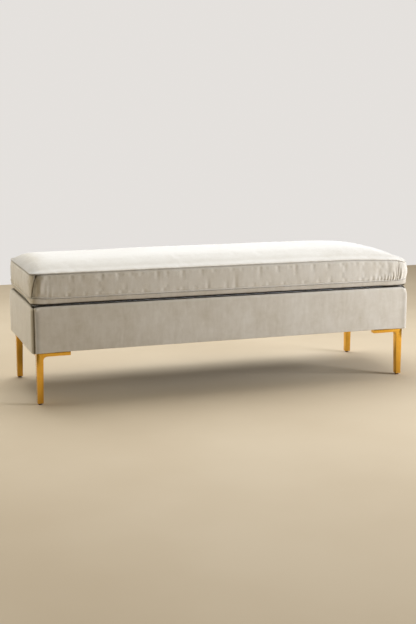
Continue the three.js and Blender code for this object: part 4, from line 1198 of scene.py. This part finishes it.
# Cushion cover. Velvet, cut as two panels and a boxing, and sewn inside out with plain seams: the seam allowance
# inside lifts a narrow lip beside each seam. The boxing is pieced at the corners, where the seams gather it.
STUFFING_CELL = 0.0125
STUFFING_PRESSURE = 4.0
STUFFING_LIMIT = 0.0028
STUFFING_FRAMES = 20
STUFFING_POINTS = 6
STUFFING_BLEND = 1e-6
EASE_IN_CLOTH = -0.008
REST_HEIGHT = PANEL_UNDER.z
SEAM_ROWS = (0, 0.0008, 0.0016, 0.0025, 0.0034, 0.0042, 0.0047, 0.0054, 0.0064, 0.0078, 0.0098, 0.0125, 0.016)
PANEL_COLUMNS = 308
PANEL_ROWS = 112
LIP_RADIUS = 0.0023
LIP_TURN = math.radians(140)
LIP_FADE = 0.030
UNDER_LIP_RADIUS = 0.0017
SEAM_GROOVE = 0.0028
SEAM_GROOVE_REACH = 0.0019
RIDGE_PROUD = 0.0027
RIDGE_HEIGHT = 0.0026
RIDGE_WIDTH = 0.0015
# A painted highlight along the ridge over the bottom seam.
RIDGE_PAINTED_HIGHLIGHT = 0.6
SEAM_SHADE = 0.66
SEAM_SHADE_REACH = 0.0014
SHORT_PUCKER = 0.00045
LONG_PUCKER = 0.0006
PUCKER_REACH = 0.012
PUCKER_START = 0.003
PUCKER_SLANT = 1.7
# Painted light on the top panel: lighter inside its seams, with painted shade towards the right end and on the slope at
# the left end.
TOP_PAINTED_LIGHT = -0.75
TOP_PAINTED_LIGHT_START = (0.004, 0.020)
LEFT_PAINTED_SHADE = 0.36
LEFT_PAINTED_SHADE_REACH = 0.070
RIGHT_PAINTED_SHADE = 0.80
RIGHT_PAINTED_SHADE_RUN = (0.25, 0.65)
TOP_STUFFING = 0.35
UNDER_ROLL = 0.012
UNDER_CLEAR = 0.0001
# Painted shadow on the cushion's underside in the gap over the base, where the pile is also pressed.
UNDER_SHADOW = 1.0
UNDER_SHADOW_START = (0.0068, 0.0095)
UNDER_SHADOW_END = (0.017, 0.030)
UNDER_SHADOW_TURN = (0.0, 0.060)
ZIP_END = BOXING_HIGH.x - SEAM_HALF_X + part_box("cushion_zip_strip_upper")[1].x


def stuffed(bag):
    """Inflates a closed bag of cloth with its seams held, and gives where each of its points was and has moved."""
    mesh = bpy.data.meshes.new("stuffing")
    bag.to_mesh(mesh)
    bag.free()
    before = [vertex.co.copy() for vertex in mesh.vertices]
    loose = bpy.data.objects.new("stuffing", mesh)
    bpy.context.scene.collection.objects.link(loose)
    seams = loose.vertex_groups.new(name="seams")
    held = [index for index, point in enumerate(mesh.attributes["sewn"].data) if point.value]
    seams.add(held, 1.0, "ADD")
    cloth = loose.modifiers.new("cloth", "CLOTH")
    cloth.settings.use_pressure = True
    cloth.settings.uniform_pressure_force = STUFFING_PRESSURE
    cloth.settings.vertex_group_mass = seams.name
    cloth.settings.shrink_min = EASE_IN_CLOTH
    cloth.settings.effector_weights.gravity = 0
    cloth.point_cache.frame_start = 1
    cloth.point_cache.frame_end = STUFFING_FRAMES
    scene = bpy.context.scene
    for number in range(1, STUFFING_FRAMES + 1):
        scene.frame_set(number)
    swollen = loose.evaluated_get(bpy.context.evaluated_depsgraph_get()).data
    moves = []
    for was, vertex in zip(before, swollen.vertices):
        move = vertex.co - was
        if move.length > STUFFING_LIMIT:
            move *= STUFFING_LIMIT / move.length
        moves.append(move)
    scene.frame_set(1)
    bpy.data.objects.remove(loose)
    bpy.data.meshes.remove(mesh)
    return before, moves


moved_by = kdtree.KDTree(0)
moves = []
before, moves = stuffed(boxed_block(STUFFING_CELL, 0.0, 0.0))
moved_by = kdtree.KDTree(len(before))
for index, spot in enumerate(before):
    moved_by.insert(spot, index)
moved_by.balance()


def stuffing_move(spot):
    """How far the stuffing has pushed the cloth out at a place, from the nearest points of the bag."""
    move, weight = Vector((0, 0, 0)), 0.0
    for _, index, distance in moved_by.find_n(spot, STUFFING_POINTS):
        share = 1 / (distance * distance + STUFFING_BLEND)
        move += moves[index] * share
        weight += share
    return move / weight if weight else move


def from_seam(row, last_row, half):
    """How far a row lies from the seam: close rows beside it, then even ones to the middle."""
    close = len(SEAM_ROWS) - 1
    if row <= close:
        return SEAM_ROWS[row]
    return SEAM_ROWS[close] + (half - SEAM_ROWS[close]) * (row - close) / (last_row - close)


def row_place(row, rows, half):
    """Where a row of a panel lies, and how far from its nearer seam."""
    depth = from_seam(min(row, rows - row), rows / 2, half)
    return (half - depth) * (-1 if row < rows / 2 else 1), depth


def lip(depth, radius):
    """The edge of a panel where it turns in to the stitches: how deep behind the seam line, and how high."""
    turn_length = radius * LIP_TURN
    if depth <= turn_length:
        angle = depth / radius - math.pi / 2
        return radius * (1 - math.cos(angle)), radius * (1 + math.sin(angle))
    last = LIP_TURN - math.pi / 2
    fade = 1 - eased(depth, turn_length, turn_length + LIP_FADE)
    shift = turn_length - radius * (1 - math.cos(last))
    return depth - shift * fade, radius * (1 + math.sin(last)) * fade


def outward_at(x, y):
    """The way out of the cushion's plan at a place near its edge."""
    away = Vector((x - math.copysign(min(abs(x), ARC_X), x), y - math.copysign(min(abs(y), ARC_Y), y), 0))
    return away.normalized() if away.length > SAME_PLACE else away


def seam_pucker(x, y, depth):
    """The cloth beside a seam, drawn up a little by the stitches."""
    run = x + PUCKER_SLANT * y
    short = noise.noise(Vector((run * 55, 0.4, 2.1)))
    long = noise.noise(Vector((run * 19, 3.3, 0.2)))
    drawn = SHORT_PUCKER * short + LONG_PUCKER * long
    return drawn * math.exp(-depth / PUCKER_REACH) * min(1.0, depth / PUCKER_START)


def cushion_panel(up):
    """The top panel, or the bottom panel where up is -1."""
    columns, rows = PANEL_COLUMNS, PANEL_ROWS
    powers = TOP_CROWN_POWERS if up > 0 else BOTTOM_CROWN_POWERS
    crown = TOP_CROWN if up > 0 else BOTTOM_CROWN
    radius = LIP_RADIUS if up > 0 else UNDER_LIP_RADIUS
    seam = TOP_SEAM if up > 0 else BOTTOM_SEAM
    turn_length = radius * LIP_TURN

    def place(column, row):
        x, depth_x = row_place(column, columns, SEAM_HALF_X)
        y, depth_y = row_place(row, rows, SEAM_HALF_Y)
        depth = min(depth_x, depth_y)
        behind, rise = lip(depth, radius)
        spot = cushion_plan(x, y)
        crown_x = math.copysign(SEAM_HALF_X - max(0.0, depth_x - turn_length), x)
        crown_y = math.copysign(SEAM_HALF_Y - max(0.0, depth_y - turn_length), y)
        swell = crown * crown_share(crown_x, crown_y, powers)
        if up < 0:
            rolled = 1 - min(1.0, max(0.0, depth - turn_length) / UNDER_ROLL)
            swell = crown * math.sqrt(1 - rolled ** 2)
        spot.z = seam + up * (swell + rise * (1 - swell / crown))
        spot += slump(x, y, (up + 1) / 2)
        spot += stuffing_move(spot) * (TOP_STUFFING if up > 0 else 1.0)
        spot += outward_at(x, y) * (depth - behind)
        spot.z += up * seam_pucker(x, y, depth)
        if up < 0:
            spot.z = max(spot.z, REST_HEIGHT + UNDER_CLEAR)
        shading_amount = SEAM_SHADE * math.exp(-depth / SEAM_SHADE_REACH)
        if up > 0:
            # Painted light over the top panel, with painted shade at its left and right ends.
            left = math.exp(-((x + SEAM_HALF_X) / LEFT_PAINTED_SHADE_REACH) ** 2)
            top_light = (TOP_PAINTED_LIGHT + RIGHT_PAINTED_SHADE * eased(x, *RIGHT_PAINTED_SHADE_RUN)) * eased(depth, *TOP_PAINTED_LIGHT_START)
            shading_amount += LEFT_PAINTED_SHADE * left + top_light * (1 - left)
        else:
            # Painted shadow on the underside in the gap over the base, fainter at the ends.
            shadow_here = UNDER_SHADOW + (GAP_SHADOW_AT_ENDS - UNDER_SHADOW) * eased(depth_y - depth_x, *UNDER_SHADOW_TURN)
            shading_amount += shadow_here * eased(depth, *UNDER_SHADOW_START) * (1 - eased(depth, *UNDER_SHADOW_END))
        return spot, Vector((0, 0, up)), min(1.0, shading_amount)

    return woven_grid(columns, rows, place)


for name, up in (("top", 1), ("bottom", -1)):
    panel = add_piece(cushion_panel(up), f"cushion_{name}_velvet", VELVET, "cushion", "velvet", f"cushion_{name}_panel")
    if up < 0:
        shade_pressed_faces(panel)
    thicken(panel, CLOTH_THICKNESS)


def wall_path():
    """The boxing's line in plan, from the zip's left end round the front to its right end: each stretch's length,
    with the place and the way out at a share of it."""

    def straight(start, end, away):
        run = Vector(end) - Vector(start)
        return run.length, lambda share: (Vector(start) + run * share, Vector(away))

    def corner(centre, first):
        def at(share):
            angle = (first + share) * math.pi / 2
            away = Vector((math.cos(angle), math.sin(angle)))
            return Vector(centre) + away * CUSHION_CORNER, away
        return CORNER_ARC, at

    return [
        straight((-ZIP_END, SEAM_HALF_Y), (-ARC_X, SEAM_HALF_Y), (0, 1)), corner((-ARC_X, ARC_Y), 1),
        straight((-SEAM_HALF_X, ARC_Y), (-SEAM_HALF_X, -ARC_Y), (-1, 0)), corner((-ARC_X, -ARC_Y), 2),
        straight((-ARC_X, -SEAM_HALF_Y), (ARC_X, -SEAM_HALF_Y), (0, -1)), corner((ARC_X, -ARC_Y), 3),
        straight((SEAM_HALF_X, -ARC_Y), (SEAM_HALF_X, ARC_Y), (1, 0)), corner((ARC_X, ARC_Y), 0),
        straight((ARC_X, SEAM_HALF_Y), (ZIP_END, SEAM_HALF_Y), (0, 1)),
    ]


CORNER_ARC = CUSHION_CORNER * math.pi / 2
WALL_PATH = wall_path()
WALL_LENGTH = sum(length for length, at in WALL_PATH)
WALL_HEIGHT = TOP_SEAM - BOTTOM_SEAM
CORNER_STARTS = [sum(length for length, at in WALL_PATH[:number]) for number in (1, 3, 5, 7)]


def wall_place(run):
    """The boxing's place and way out at a length along its line."""
    for length, at in WALL_PATH[:-1]:
        if run <= length:
            return at(run / length)
        run -= length
    length, at = WALL_PATH[-1]
    return at(min(1.0, run / length))


PUCKER_LEAN = 0.004
PUCKER_COUNT = 16
PUCKER_SIZE = 0.0011
PUCKER_FIRST = 0.010
PUCKER_STEPS = (0.011, 0.021)
PUCKER_WIDTHS = (0.0036, 0.0070)
PUCKER_TAPER = 0.35
FRONT_RIGHT = 2
FOLD_WIDTHS = (0.0040, 0.0052)
FOLD_RUNS = (0.010, 0.030, 0.042, 0.054, 0.066, 0.079, 0.093, 0.109, 0.127, 0.149, 0.171)
FOLD_SIZES = (0.0030, 0.0042, 0.0046, 0.0040, 0.0036, 0.0036, 0.0027, 0.0024, 0.0016, 0.0014, 0.0010)
FOLD_HEIGHTS = (0.95, 0.75, 0.60, 0.40, 0.42, 0.45, 0.34, 0.36, 0.40, 0.30, 0.30)


def made_puckers():
    """Each pucker's place along the wall, its half width, how far it stands out, how much of the wall it climbs and
    whether it starts at the bottom seam. The front right corner, where the cloth was eased in, has the strong ones."""
    chance = random.Random(11)
    found = []
    for number, start in enumerate(CORNER_STARTS):
        for side in (-1, 1):
            edge = start if side < 0 else start + CORNER_ARC
            if number == FRONT_RIGHT and side < 0:
                for run, size, climb in zip(FOLD_RUNS, FOLD_SIZES, FOLD_HEIGHTS):
                    found.append((edge - run, chance.uniform(*FOLD_WIDTHS), size, climb, True))
            run = PUCKER_FIRST
            for step in range(PUCKER_COUNT):
                width = chance.uniform(*PUCKER_WIDTHS)
                size = PUCKER_SIZE * math.exp(-2 * step / PUCKER_COUNT) * chance.uniform(0.5, 1.0)
                found.append((edge + side * run, width, size, chance.uniform(0.5, 1.0), chance.random() < 0.5))
                run += chance.uniform(*PUCKER_STEPS)
    return found


PUCKERS = sorted(made_puckers())


def pucker_at(run, level):
    """How far the gathered cloth stands out at a place of the wall."""
    out = 0.0
    for centre, width, size, climb, from_bottom in PUCKERS:
        if abs(run - centre) > 4 * width:
            continue
        height = level if from_bottom else 1 - level
        lean = PUCKER_LEAN * height
        bell = math.exp(-((run - centre - lean) / (width * (1 + height))) ** 2)
        out += size * bell * (1 - eased(height, climb * PUCKER_TAPER, climb))
    return out


BOXING_COLUMNS = 1300
BOXING_ROWS = 38
# Painted light on the boxing: lighter everywhere but near its left end.
BOXING_PAINTED_LIGHT = -0.4
BOXING_PAINTED_LIGHT_RUN = (-0.70, -0.45)
BOXING_FREE = 0.05
WALL_SWELL = 0.0022
WALL_WANDER = 0.0005
RIDGE_WAVER = 0.4
OVER_RIDGE_HEIGHT = RIDGE_HEIGHT * 2.3
OVER_RIDGE_DEPTH = 0.5
# Painted shade in the hollow over the bottom ridge.
OVER_RIDGE_SHADE = 0.09
END_GROOVE = SEAM_GROOVE * 0.7
LOWER_GROOVE_REACH = SEAM_GROOVE_REACH * 0.4
TOP_SHADE_REACH = 0.0016
BOTTOM_SHADE_REACH = 0.0010
PUCKER_OVER_BOTTOM = 0.006
PUCKER_UNDER_TOP = 0.004
CLOSE_COLUMNS_REACH = 0.10
CLOSE_COLUMNS_MORE = 3
COLUMN_SAMPLES = 4000
GATHER_STEP = 0.004
# Painted shade in the valleys between the puckers.
GATHER_SHADE = 120
GATHER_SHADE_LIMIT = 0.38
CORNER_AROUND = 0.11
CORNER_GROOVE = 0.0024
CORNER_GROOVE_WIDTH = 0.0014
CORNER_RIM = 0.0010
CORNER_RIM_OFFSET = 0.0032
CORNER_RIM_WIDTH = 0.0021
CORNER_SEAM_BEND = 1.6
CORNER_HOLLOW_REACH = 0.010
CORNER_HOLLOW_PAST = 0.008
CORNER_DIMPLE_REACH = 0.0060
CORNER_DIMPLE_DOWN = 0.006
CORNER_FULLNESS = 0.0026
CORNER_FULLNESS_RUN = 0.028
CORNER_FULLNESS_REACH = 0.011
# Painted shade in the corners' seam grooves, in the hollows beside them and in the dimples at their heads.
GROOVE_SHADE = 0.72
HOLLOW_SHADE = 120
DIMPLE_SHADE = 150
CORNER_SEAMS = (
    {"top": -0.0120, "bottom": 0.0050, "to_front": -1, "hollow": 0.0010, "dimple": 0.0018, "faint": 0.0},
    {"top": 0.0150, "bottom": -0.0050, "to_front": 1, "hollow": 0.0026, "dimple": 0.0040, "faint": 0.0},
    {"top": -0.0400, "bottom": -0.0470, "to_front": -1, "hollow": 0.0009, "dimple": 0.0010, "faint": 0.8},
    {"top": 0.0120, "bottom": -0.0050, "to_front": 1, "hollow": 0.0010, "dimple": 0.0018, "faint": 0.0},
)


def corner_seams(run, below_top):
    """How deep the corner's piecing seam, the hollow beside it and the dimple at its head sink into the wall, and how
    much shade is painted there."""
    depth, shading_amount = 0.0, 0.0
    level = 1 - below_top / WALL_HEIGHT
    for start, corner in zip(CORNER_STARTS, CORNER_SEAMS):
        if abs(run - start - CORNER_ARC / 2) > CORNER_AROUND:
            continue
        seam = corner["bottom"] + (corner["top"] - corner["bottom"]) * level ** CORNER_SEAM_BEND
        past = (run - start - CORNER_ARC / 2 - seam) * corner["to_front"]
        groove = math.exp(-(past / CORNER_GROOVE_WIDTH) ** 2) * (1 - corner["faint"] * level ** 2)
        rim = math.exp(-((past + CORNER_RIM_OFFSET) / CORNER_RIM_WIDTH) ** 2)
        hollow = math.exp(-((past - CORNER_HOLLOW_PAST) / CORNER_HOLLOW_REACH) ** 2)
        down = (below_top - CORNER_DIMPLE_DOWN) / CORNER_DIMPLE_REACH
        dimple = math.exp(-(past / CORNER_DIMPLE_REACH) ** 2 - down ** 2)
        fullness = math.exp(-((past - CORNER_FULLNESS_RUN) / CORNER_FULLNESS_REACH) ** 2)
        depth += CORNER_GROOVE * groove - CORNER_RIM * rim + corner["hollow"] * hollow
        depth += corner["dimple"] * dimple - CORNER_FULLNESS * fullness * 4 * level * (1 - level)
        # Painted shade in the groove, the hollow and the dimple.
        shading_amount += GROOVE_SHADE * groove + HOLLOW_SHADE * corner["hollow"] * hollow
        shading_amount += DIMPLE_SHADE * corner["dimple"] * dimple
    return depth, shading_amount


def wall_relief(run, above_bottom, below_top):
    """How far the wall stands out and how much shade and highlight are painted on its pile: the groove under the top
    seam, the ridge over the bottom one, the corners' seams and the puckers."""
    level = above_bottom / WALL_HEIGHT
    sunk, shading_amount = corner_seams(run, below_top)
    out = -SEAM_GROOVE * math.exp(-below_top / SEAM_GROOVE_REACH) - sunk
    waver = 1 + RIDGE_WAVER * noise.noise(Vector((run * 13, 5.1, 0.7)))
    ridge = (above_bottom - RIDGE_HEIGHT) / RIDGE_WIDTH
    over_ridge = (above_bottom - OVER_RIDGE_HEIGHT) / RIDGE_WIDTH
    out += RIDGE_PROUD * waver * (math.exp(-ridge * ridge) - OVER_RIDGE_DEPTH * math.exp(-over_ridge * over_ridge))
    out -= SEAM_GROOVE * math.exp(-above_bottom / LOWER_GROOVE_REACH)
    pucker = pucker_at(run, level)
    out += pucker * min(1.0, above_bottom / PUCKER_OVER_BOTTOM) * min(1.0, below_top / PUCKER_UNDER_TOP)
    gathered = pucker_at(run - GATHER_STEP, level) + pucker_at(run + GATHER_STEP, level) - 2 * pucker
    out += WALL_WANDER * noise.noise(Vector((run * 9, level * 1.2, 1.9)))
    shading_amount += SEAM_SHADE * (math.exp(-below_top / TOP_SHADE_REACH) + math.exp(-above_bottom / BOTTOM_SHADE_REACH))
    # Painted shade over the ridge and in the puckers' valleys.
    shading_amount += OVER_RIDGE_SHADE * math.exp(-over_ridge * over_ridge)
    shading_amount += min(GATHER_SHADE_LIMIT, max(0.0, gathered * GATHER_SHADE))
    # A painted highlight along the ridge.
    shading_amount -= RIDGE_PAINTED_HIGHLIGHT * math.exp(-ridge * ridge)
    from_end = min(run, WALL_LENGTH - run)
    out -= END_GROOVE * math.exp(-from_end / SEAM_GROOVE_REACH)
    shading_amount += SEAM_SHADE * math.exp(-from_end / SEAM_SHADE_REACH)
    return out, min(1.0, shading_amount)


def wall_swell(level, at_zip):
    """The wall's soft bulge where no stuffing has been simulated."""
    return WALL_SWELL * 4 * level * (1 - level) * (0 if at_zip else 1)


def wall_columns(count):
    """Where the boxing's columns stand along it: four times as close near the corners as between them."""
    samples = COLUMN_SAMPLES
    weights = [0.0]
    for number in range(samples):
        run = WALL_LENGTH * (number + 0.5) / samples
        near = max(
            math.exp(-((run - start - CORNER_ARC / 2) / CLOSE_COLUMNS_REACH) ** 4) for start in CORNER_STARTS
        )
        weights.append(weights[-1] + 1 + CLOSE_COLUMNS_MORE * near)
    places, number = [], 0
    for column in range(count + 1):
        wanted = weights[-1] * column / count
        while number < samples - 1 and weights[number + 1] < wanted:
            number += 1
        part = (wanted - weights[number]) / (weights[number + 1] - weights[number])
        places.append(WALL_LENGTH * (number + part) / samples)
    return places


def boxing():
    """The cushion's wall, pieced at the corners, from one end of the zip round the front to the other."""
    spread = wall_columns(BOXING_COLUMNS)
    half = BOXING_ROWS / 2

    def place(column, row):
        run = spread[column]
        flat, away = wall_place(run)
        above = WALL_HEIGHT - from_seam(BOXING_ROWS - row, half, WALL_HEIGHT / 2)
        if row < half:
            above = from_seam(row, half, WALL_HEIGHT / 2)
        level = above / WALL_HEIGHT
        spot = drawn_in(flat.x, flat.y)
        spot.z = BOTTOM_SEAM + above
        spot += slump(flat.x, flat.y, level)
        ends = min(1.0, run / BOXING_FREE, (WALL_LENGTH - run) / BOXING_FREE)
        push = stuffing_move(spot) * ends if moves else Vector((0, 0, 0))
        direction = Vector((away.x, away.y, 0))
        out, shading_amount = wall_relief(run, above, WALL_HEIGHT - above)
        # Painted light: the boxing is painted lighter except near its left end.
        shading_amount += BOXING_PAINTED_LIGHT * eased(flat.x, *BOXING_PAINTED_LIGHT_RUN)
        if not moves:
            out += wall_swell(level, ends < 1)
        return spot + push + direction * out, direction, shading_amount

    return woven_grid(BOXING_COLUMNS, BOXING_ROWS, place)


wall = add_piece(boxing(), "cushion_boxing_velvet", VELVET, "cushion", "velvet", "cushion_boxing")
thicken(wall, CLOTH_THICKNESS)

ZIP_COLUMNS = (0, 0.0006, 0.0013, 0.0022, 0.0034, 0.0050, 0.0075)
HEM_FROM_ZIP = 0.006
HEM_WIDTH = 0.0009
HEM_DEPTH = 0.0006
HEM_FLAT = 0.01


def zip_strip(low, high, opening_up):
    """A strip of the rear wall, hemmed along the zip and sewn to a panel along its other edge."""
    columns, rows = 260, 26
    half = high.x

    def place(column, row):
        run, from_end = graded(column, columns, half, ZIP_COLUMNS)
        spot = Vector((run, high.y, low.z + (high.z - low.z) * row / rows))
        to_zip = high.z - spot.z if opening_up else spot.z - low.z
        to_seam = spot.z - low.z if opening_up else high.z - spot.z
        to_stitches = min(to_seam, from_end)
        stitched = math.exp(-((to_zip - HEM_FROM_ZIP) / HEM_WIDTH) ** 2)
        spot.y -= HEM_DEPTH * stitched
        spot.y -= END_GROOVE * math.exp(-to_stitches / SEAM_GROOVE_REACH)
        spot.y += WALL_WANDER * noise.noise(Vector((spot.x * 24, spot.z * 8, 4.0))) * min(1.0, to_zip / HEM_FLAT)
        # Painted shade along the hem's stitching and beside the seams.
        shading_amount = STITCH_SHADE * stitched + SEAM_SHADE * math.exp(-to_stitches / SEAM_SHADE_REACH)
        return spot, Vector((0, 1, 0)), min(1.0, shading_amount)

    return woven_grid(columns, rows, place)


for name, opening_up in (("upper", False), ("lower", True)):
    strip = zip_strip(*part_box(f"cushion_zip_strip_{name}"), opening_up)
    strip = add_piece(strip, f"zip_placket_{name}", VELVET, "cushion", "velvet", f"cushion_zip_strip_{name}")
    thicken(strip, CLOTH_THICKNESS)

# Zip. A woven polyester tape with a nylon coil of interlocking loops sewn along it, a stop at each end, and a cast
# slider that runs over the coil.
TAPE_PALE = (0.58, 0.51, 0.40, 1)
TAPE_DEEP = (0.42, 0.36, 0.27, 1)
COIL_PITCH = 0.0026
COIL_LOOP = Vector((0.0011, 0.0018, 0.0046))
COIL_OVERLAP = 0.0014
COIL_EDGE = 0.35
STOP_LENGTH = 0.003
STOP_HEIGHT = 0.006
STOP_EDGE = 0.0005
SLIDER_EDGE = 0.0003
ZIP_TAPE_THICKNESS = 0.0006
COIL_INSET = 0.005

TAPE = finished("zip tape", weave, {"Raised": TAPE_PALE, "Sunk": TAPE_DEEP}, bump=0.4, depth=0.0003, shader={
    "Specular IOR Level": 0.3,
})
COIL_NYLON = finished("coil nylon", moulded, {"Fresh": TAPE_DEEP, "Worn": TAPE_PALE}, bump=0.1, depth=0.0001, shader={
    "Specular IOR Level": 0.5,
})

chain_low, chain_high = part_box("cushion_zip_chain")
chain_middle = (chain_low + chain_high) / 2
tape = bmesh.new()
bmesh.ops.create_cube(tape, size=1)
tape_size = Vector((chain_high.x - chain_low.x, ZIP_TAPE_THICKNESS, chain_high.z - chain_low.z))
bmesh.ops.scale(tape, vec=tape_size, verts=tape.verts)
tape_place = Vector((0, chain_low.y + ZIP_TAPE_THICKNESS / 2, chain_middle.z))
bmesh.ops.translate(tape, vec=tape_place, verts=tape.verts)
soften(tape, ZIP_TAPE_THICKNESS * 0.3, 1)
tape = add_piece(tape, "zip_tape", TAPE, "cushion", "zip_tape", "cushion_zip_chain")

coil_end = chain_high.x - COIL_INSET - STOP_LENGTH
coil = bmesh.new()
for sign in (-1, 1):
    made = bmesh.ops.create_cube(coil, size=1)["verts"]
    bmesh.ops.scale(coil, vec=COIL_LOOP, verts=made)
    shift = Vector((sign * COIL_PITCH / 4, 0, sign * (COIL_LOOP.z / 2 - COIL_OVERLAP / 2)))
    bmesh.ops.translate(coil, vec=shift, verts=made)
bmesh.ops.bevel(
    coil, geom=coil.edges[:], offset=COIL_LOOP.x * COIL_EDGE, offset_type="OFFSET", segments=1, profile=0.5,
    affect="EDGES", material=-1,
)
coil_front = chain_low.y + ZIP_TAPE_THICKNESS + COIL_LOOP.y / 2
bmesh.ops.translate(coil, vec=(-coil_end + COIL_PITCH, coil_front, chain_middle.z), verts=coil.verts)
coil = add_piece(coil, "zip_coil", COIL_NYLON, "cushion", "zip_tape", "cushion_zip_chain")
loops = coil.modifiers.new("loops", "ARRAY")
loops.use_relative_offset = False
loops.use_constant_offset = True
loops.constant_offset_displace = (COIL_PITCH, 0, 0)
loops.count = int(2 * (coil_end - COIL_PITCH) / COIL_PITCH)

stops = bmesh.new()
for sign in (-1, 1):
    made = bmesh.ops.create_cube(stops, size=1)["verts"]
    bmesh.ops.scale(stops, vec=(STOP_LENGTH, chain_high.y - chain_low.y, STOP_HEIGHT), verts=made)
    spot = Vector((sign * (coil_end + STOP_LENGTH / 2), chain_middle.y, chain_middle.z))
    bmesh.ops.translate(stops, vec=spot, verts=made)
bmesh.ops.bevel(
    stops, geom=stops.edges[:], offset=STOP_EDGE, offset_type="OFFSET", segments=2, profile=0.5, affect="EDGES",
    material=-1,
)
add_piece(stops, "zip_stops", STEEL, "cushion", "steel", "cushion_zip_chain")
keep_cad_piece("cushion_zip_slider", STEEL, SLIDER_EDGE)

# The setting. A plain pale floor in a bright studio that is darker to the left and behind the camera, a broad soft
# light overhead, a near one at the front right and a weak one at the left, and the camera where the photograph was
# taken from.
FLOOR_PALE = (0.525, 0.422, 0.285, 1)
FLOOR_WORN = (0.490, 0.388, 0.258, 1)
FLOOR_LOW = Vector((-3.4, -3.2, 0))
FLOOR_HIGH = Vector((3.4, 2.8, 0))
STUDIO_TINT = (1.0, 0.965, 0.930, 1)
STUDIO_DIM_TINT = (1.0, 0.86, 0.50, 1)
STUDIO_STRENGTH = 0.78
STUDIO_LEFT_DIM = 0.25
STUDIO_FRONT_DIM = 0.30
LIGHTS = {
    "overhead": {
        "place": (-0.2, 1.0, 2.7), "target": (0, 0, 0.4), "size": 2.6, "power": 104, "colour": (0.82, 0.89, 1.0),
    },
    "right": {
        "place": (2.9, -1.7, 1.0), "target": (0.6, -0.2, 0.3), "size": 1.3, "power": 132, "colour": (0.91, 0.99, 1.15),
    },
    "left": {
        "place": (-3.3, 0.5, 0.8), "target": (-0.8, 0, 0.35), "size": 1.4, "power": 33, "colour": (1.0, 0.99, 0.93),
    },
}
CAMERA_PLACE = (-1.4109, -4.0321, 1.0219)
CAMERA_PITCH = 0.1752
CAMERA_YAW = -0.3352
CAMERA_LENS = 61.31

plaster, given = surface_effect("matt floor", {"Pale": FLOOR_PALE, "Worn": FLOOR_WORN})
broad = cloudy(plaster, given["Place"], 1.2, 4.0)
add_node(plaster, "NodeGroupOutput", {
    "Color": mixed(plaster, fitted(plaster, broad, 0.35, 0.65), given["Pale"], given["Worn"]),
    "Roughness": fitted(plaster, broad, 0.3, 0.7, 0.75, 0.9),
    "Height": broad,
})
floor = bmesh.new()
bmesh.ops.create_grid(floor, x_segments=8, y_segments=8, size=0.5)
bmesh.ops.scale(floor, vec=FLOOR_HIGH - FLOOR_LOW, verts=floor.verts)
bmesh.ops.translate(floor, vec=(FLOOR_LOW + FLOOR_HIGH) / 2, verts=floor.verts)
floor_mesh = bpy.data.meshes.new("floor")
floor.to_mesh(floor_mesh)
floor.free()
matt_floor = finished("pale floor", plaster, {}, bump=0.0, depth=0.001, shader={"Specular IOR Level": 0.3})
floor_mesh.materials.append(matt_floor)
floor_object = bpy.data.objects.new("floor", floor_mesh)
bpy.context.scene.collection.objects.link(floor_object)

for name, lamp in LIGHTS.items():
    source = bpy.data.lights.new(name, "AREA")
    source.size = lamp["size"]
    source.energy = lamp["power"]
    source.color = lamp["colour"]
    light = bpy.data.objects.new(name, source)
    light.location = lamp["place"]
    light.rotation_euler = (Vector(lamp["target"]) - Vector(lamp["place"])).to_track_quat("-Z", "Y").to_euler()
    light.visible_camera = False
    light.visible_glossy = name != "left"
    bpy.context.scene.collection.objects.link(light)

world = bpy.data.worlds.new("studio")
world.use_nodes = True
sky = world.node_tree
direction = add_node(sky, "ShaderNodeTexCoord").outputs["Generated"]
axes = add_node(sky, "ShaderNodeSeparateXYZ", {0: direction}).outputs
from_left = fitted(sky, axes[0], -0.9, 0.2, STUDIO_LEFT_DIM, 1.0)
from_front = fitted(sky, axes[1], -0.6, 0.3, STUDIO_FRONT_DIM, 1.0)
brightness = summed(sky, from_left, from_front, "MULTIPLY")
seen = add_node(sky, "ShaderNodeLightPath").outputs["Is Camera Ray"]
brightness = summed(sky, brightness, seen, "MAXIMUM")
background = sky.nodes["Background"]
tint = mixed(sky, fitted(sky, brightness, 0.2, 0.9), STUDIO_DIM_TINT, STUDIO_TINT)
sky.links.new(tint, background.inputs["Color"])
sky.links.new(summed(sky, brightness, STUDIO_STRENGTH, "MULTIPLY"), background.inputs["Strength"])
bpy.context.scene.world = world
bpy.context.scene.view_settings.view_transform = "Standard"

camera_data = bpy.data.cameras.new("camera")
camera_data.lens = CAMERA_LENS
camera = bpy.data.objects.new("camera", camera_data)
camera.location = CAMERA_PLACE
camera.rotation_euler = (math.pi / 2 - CAMERA_PITCH, 0, CAMERA_YAW)
bpy.context.scene.collection.objects.link(camera)
bpy.context.scene.camera = camera
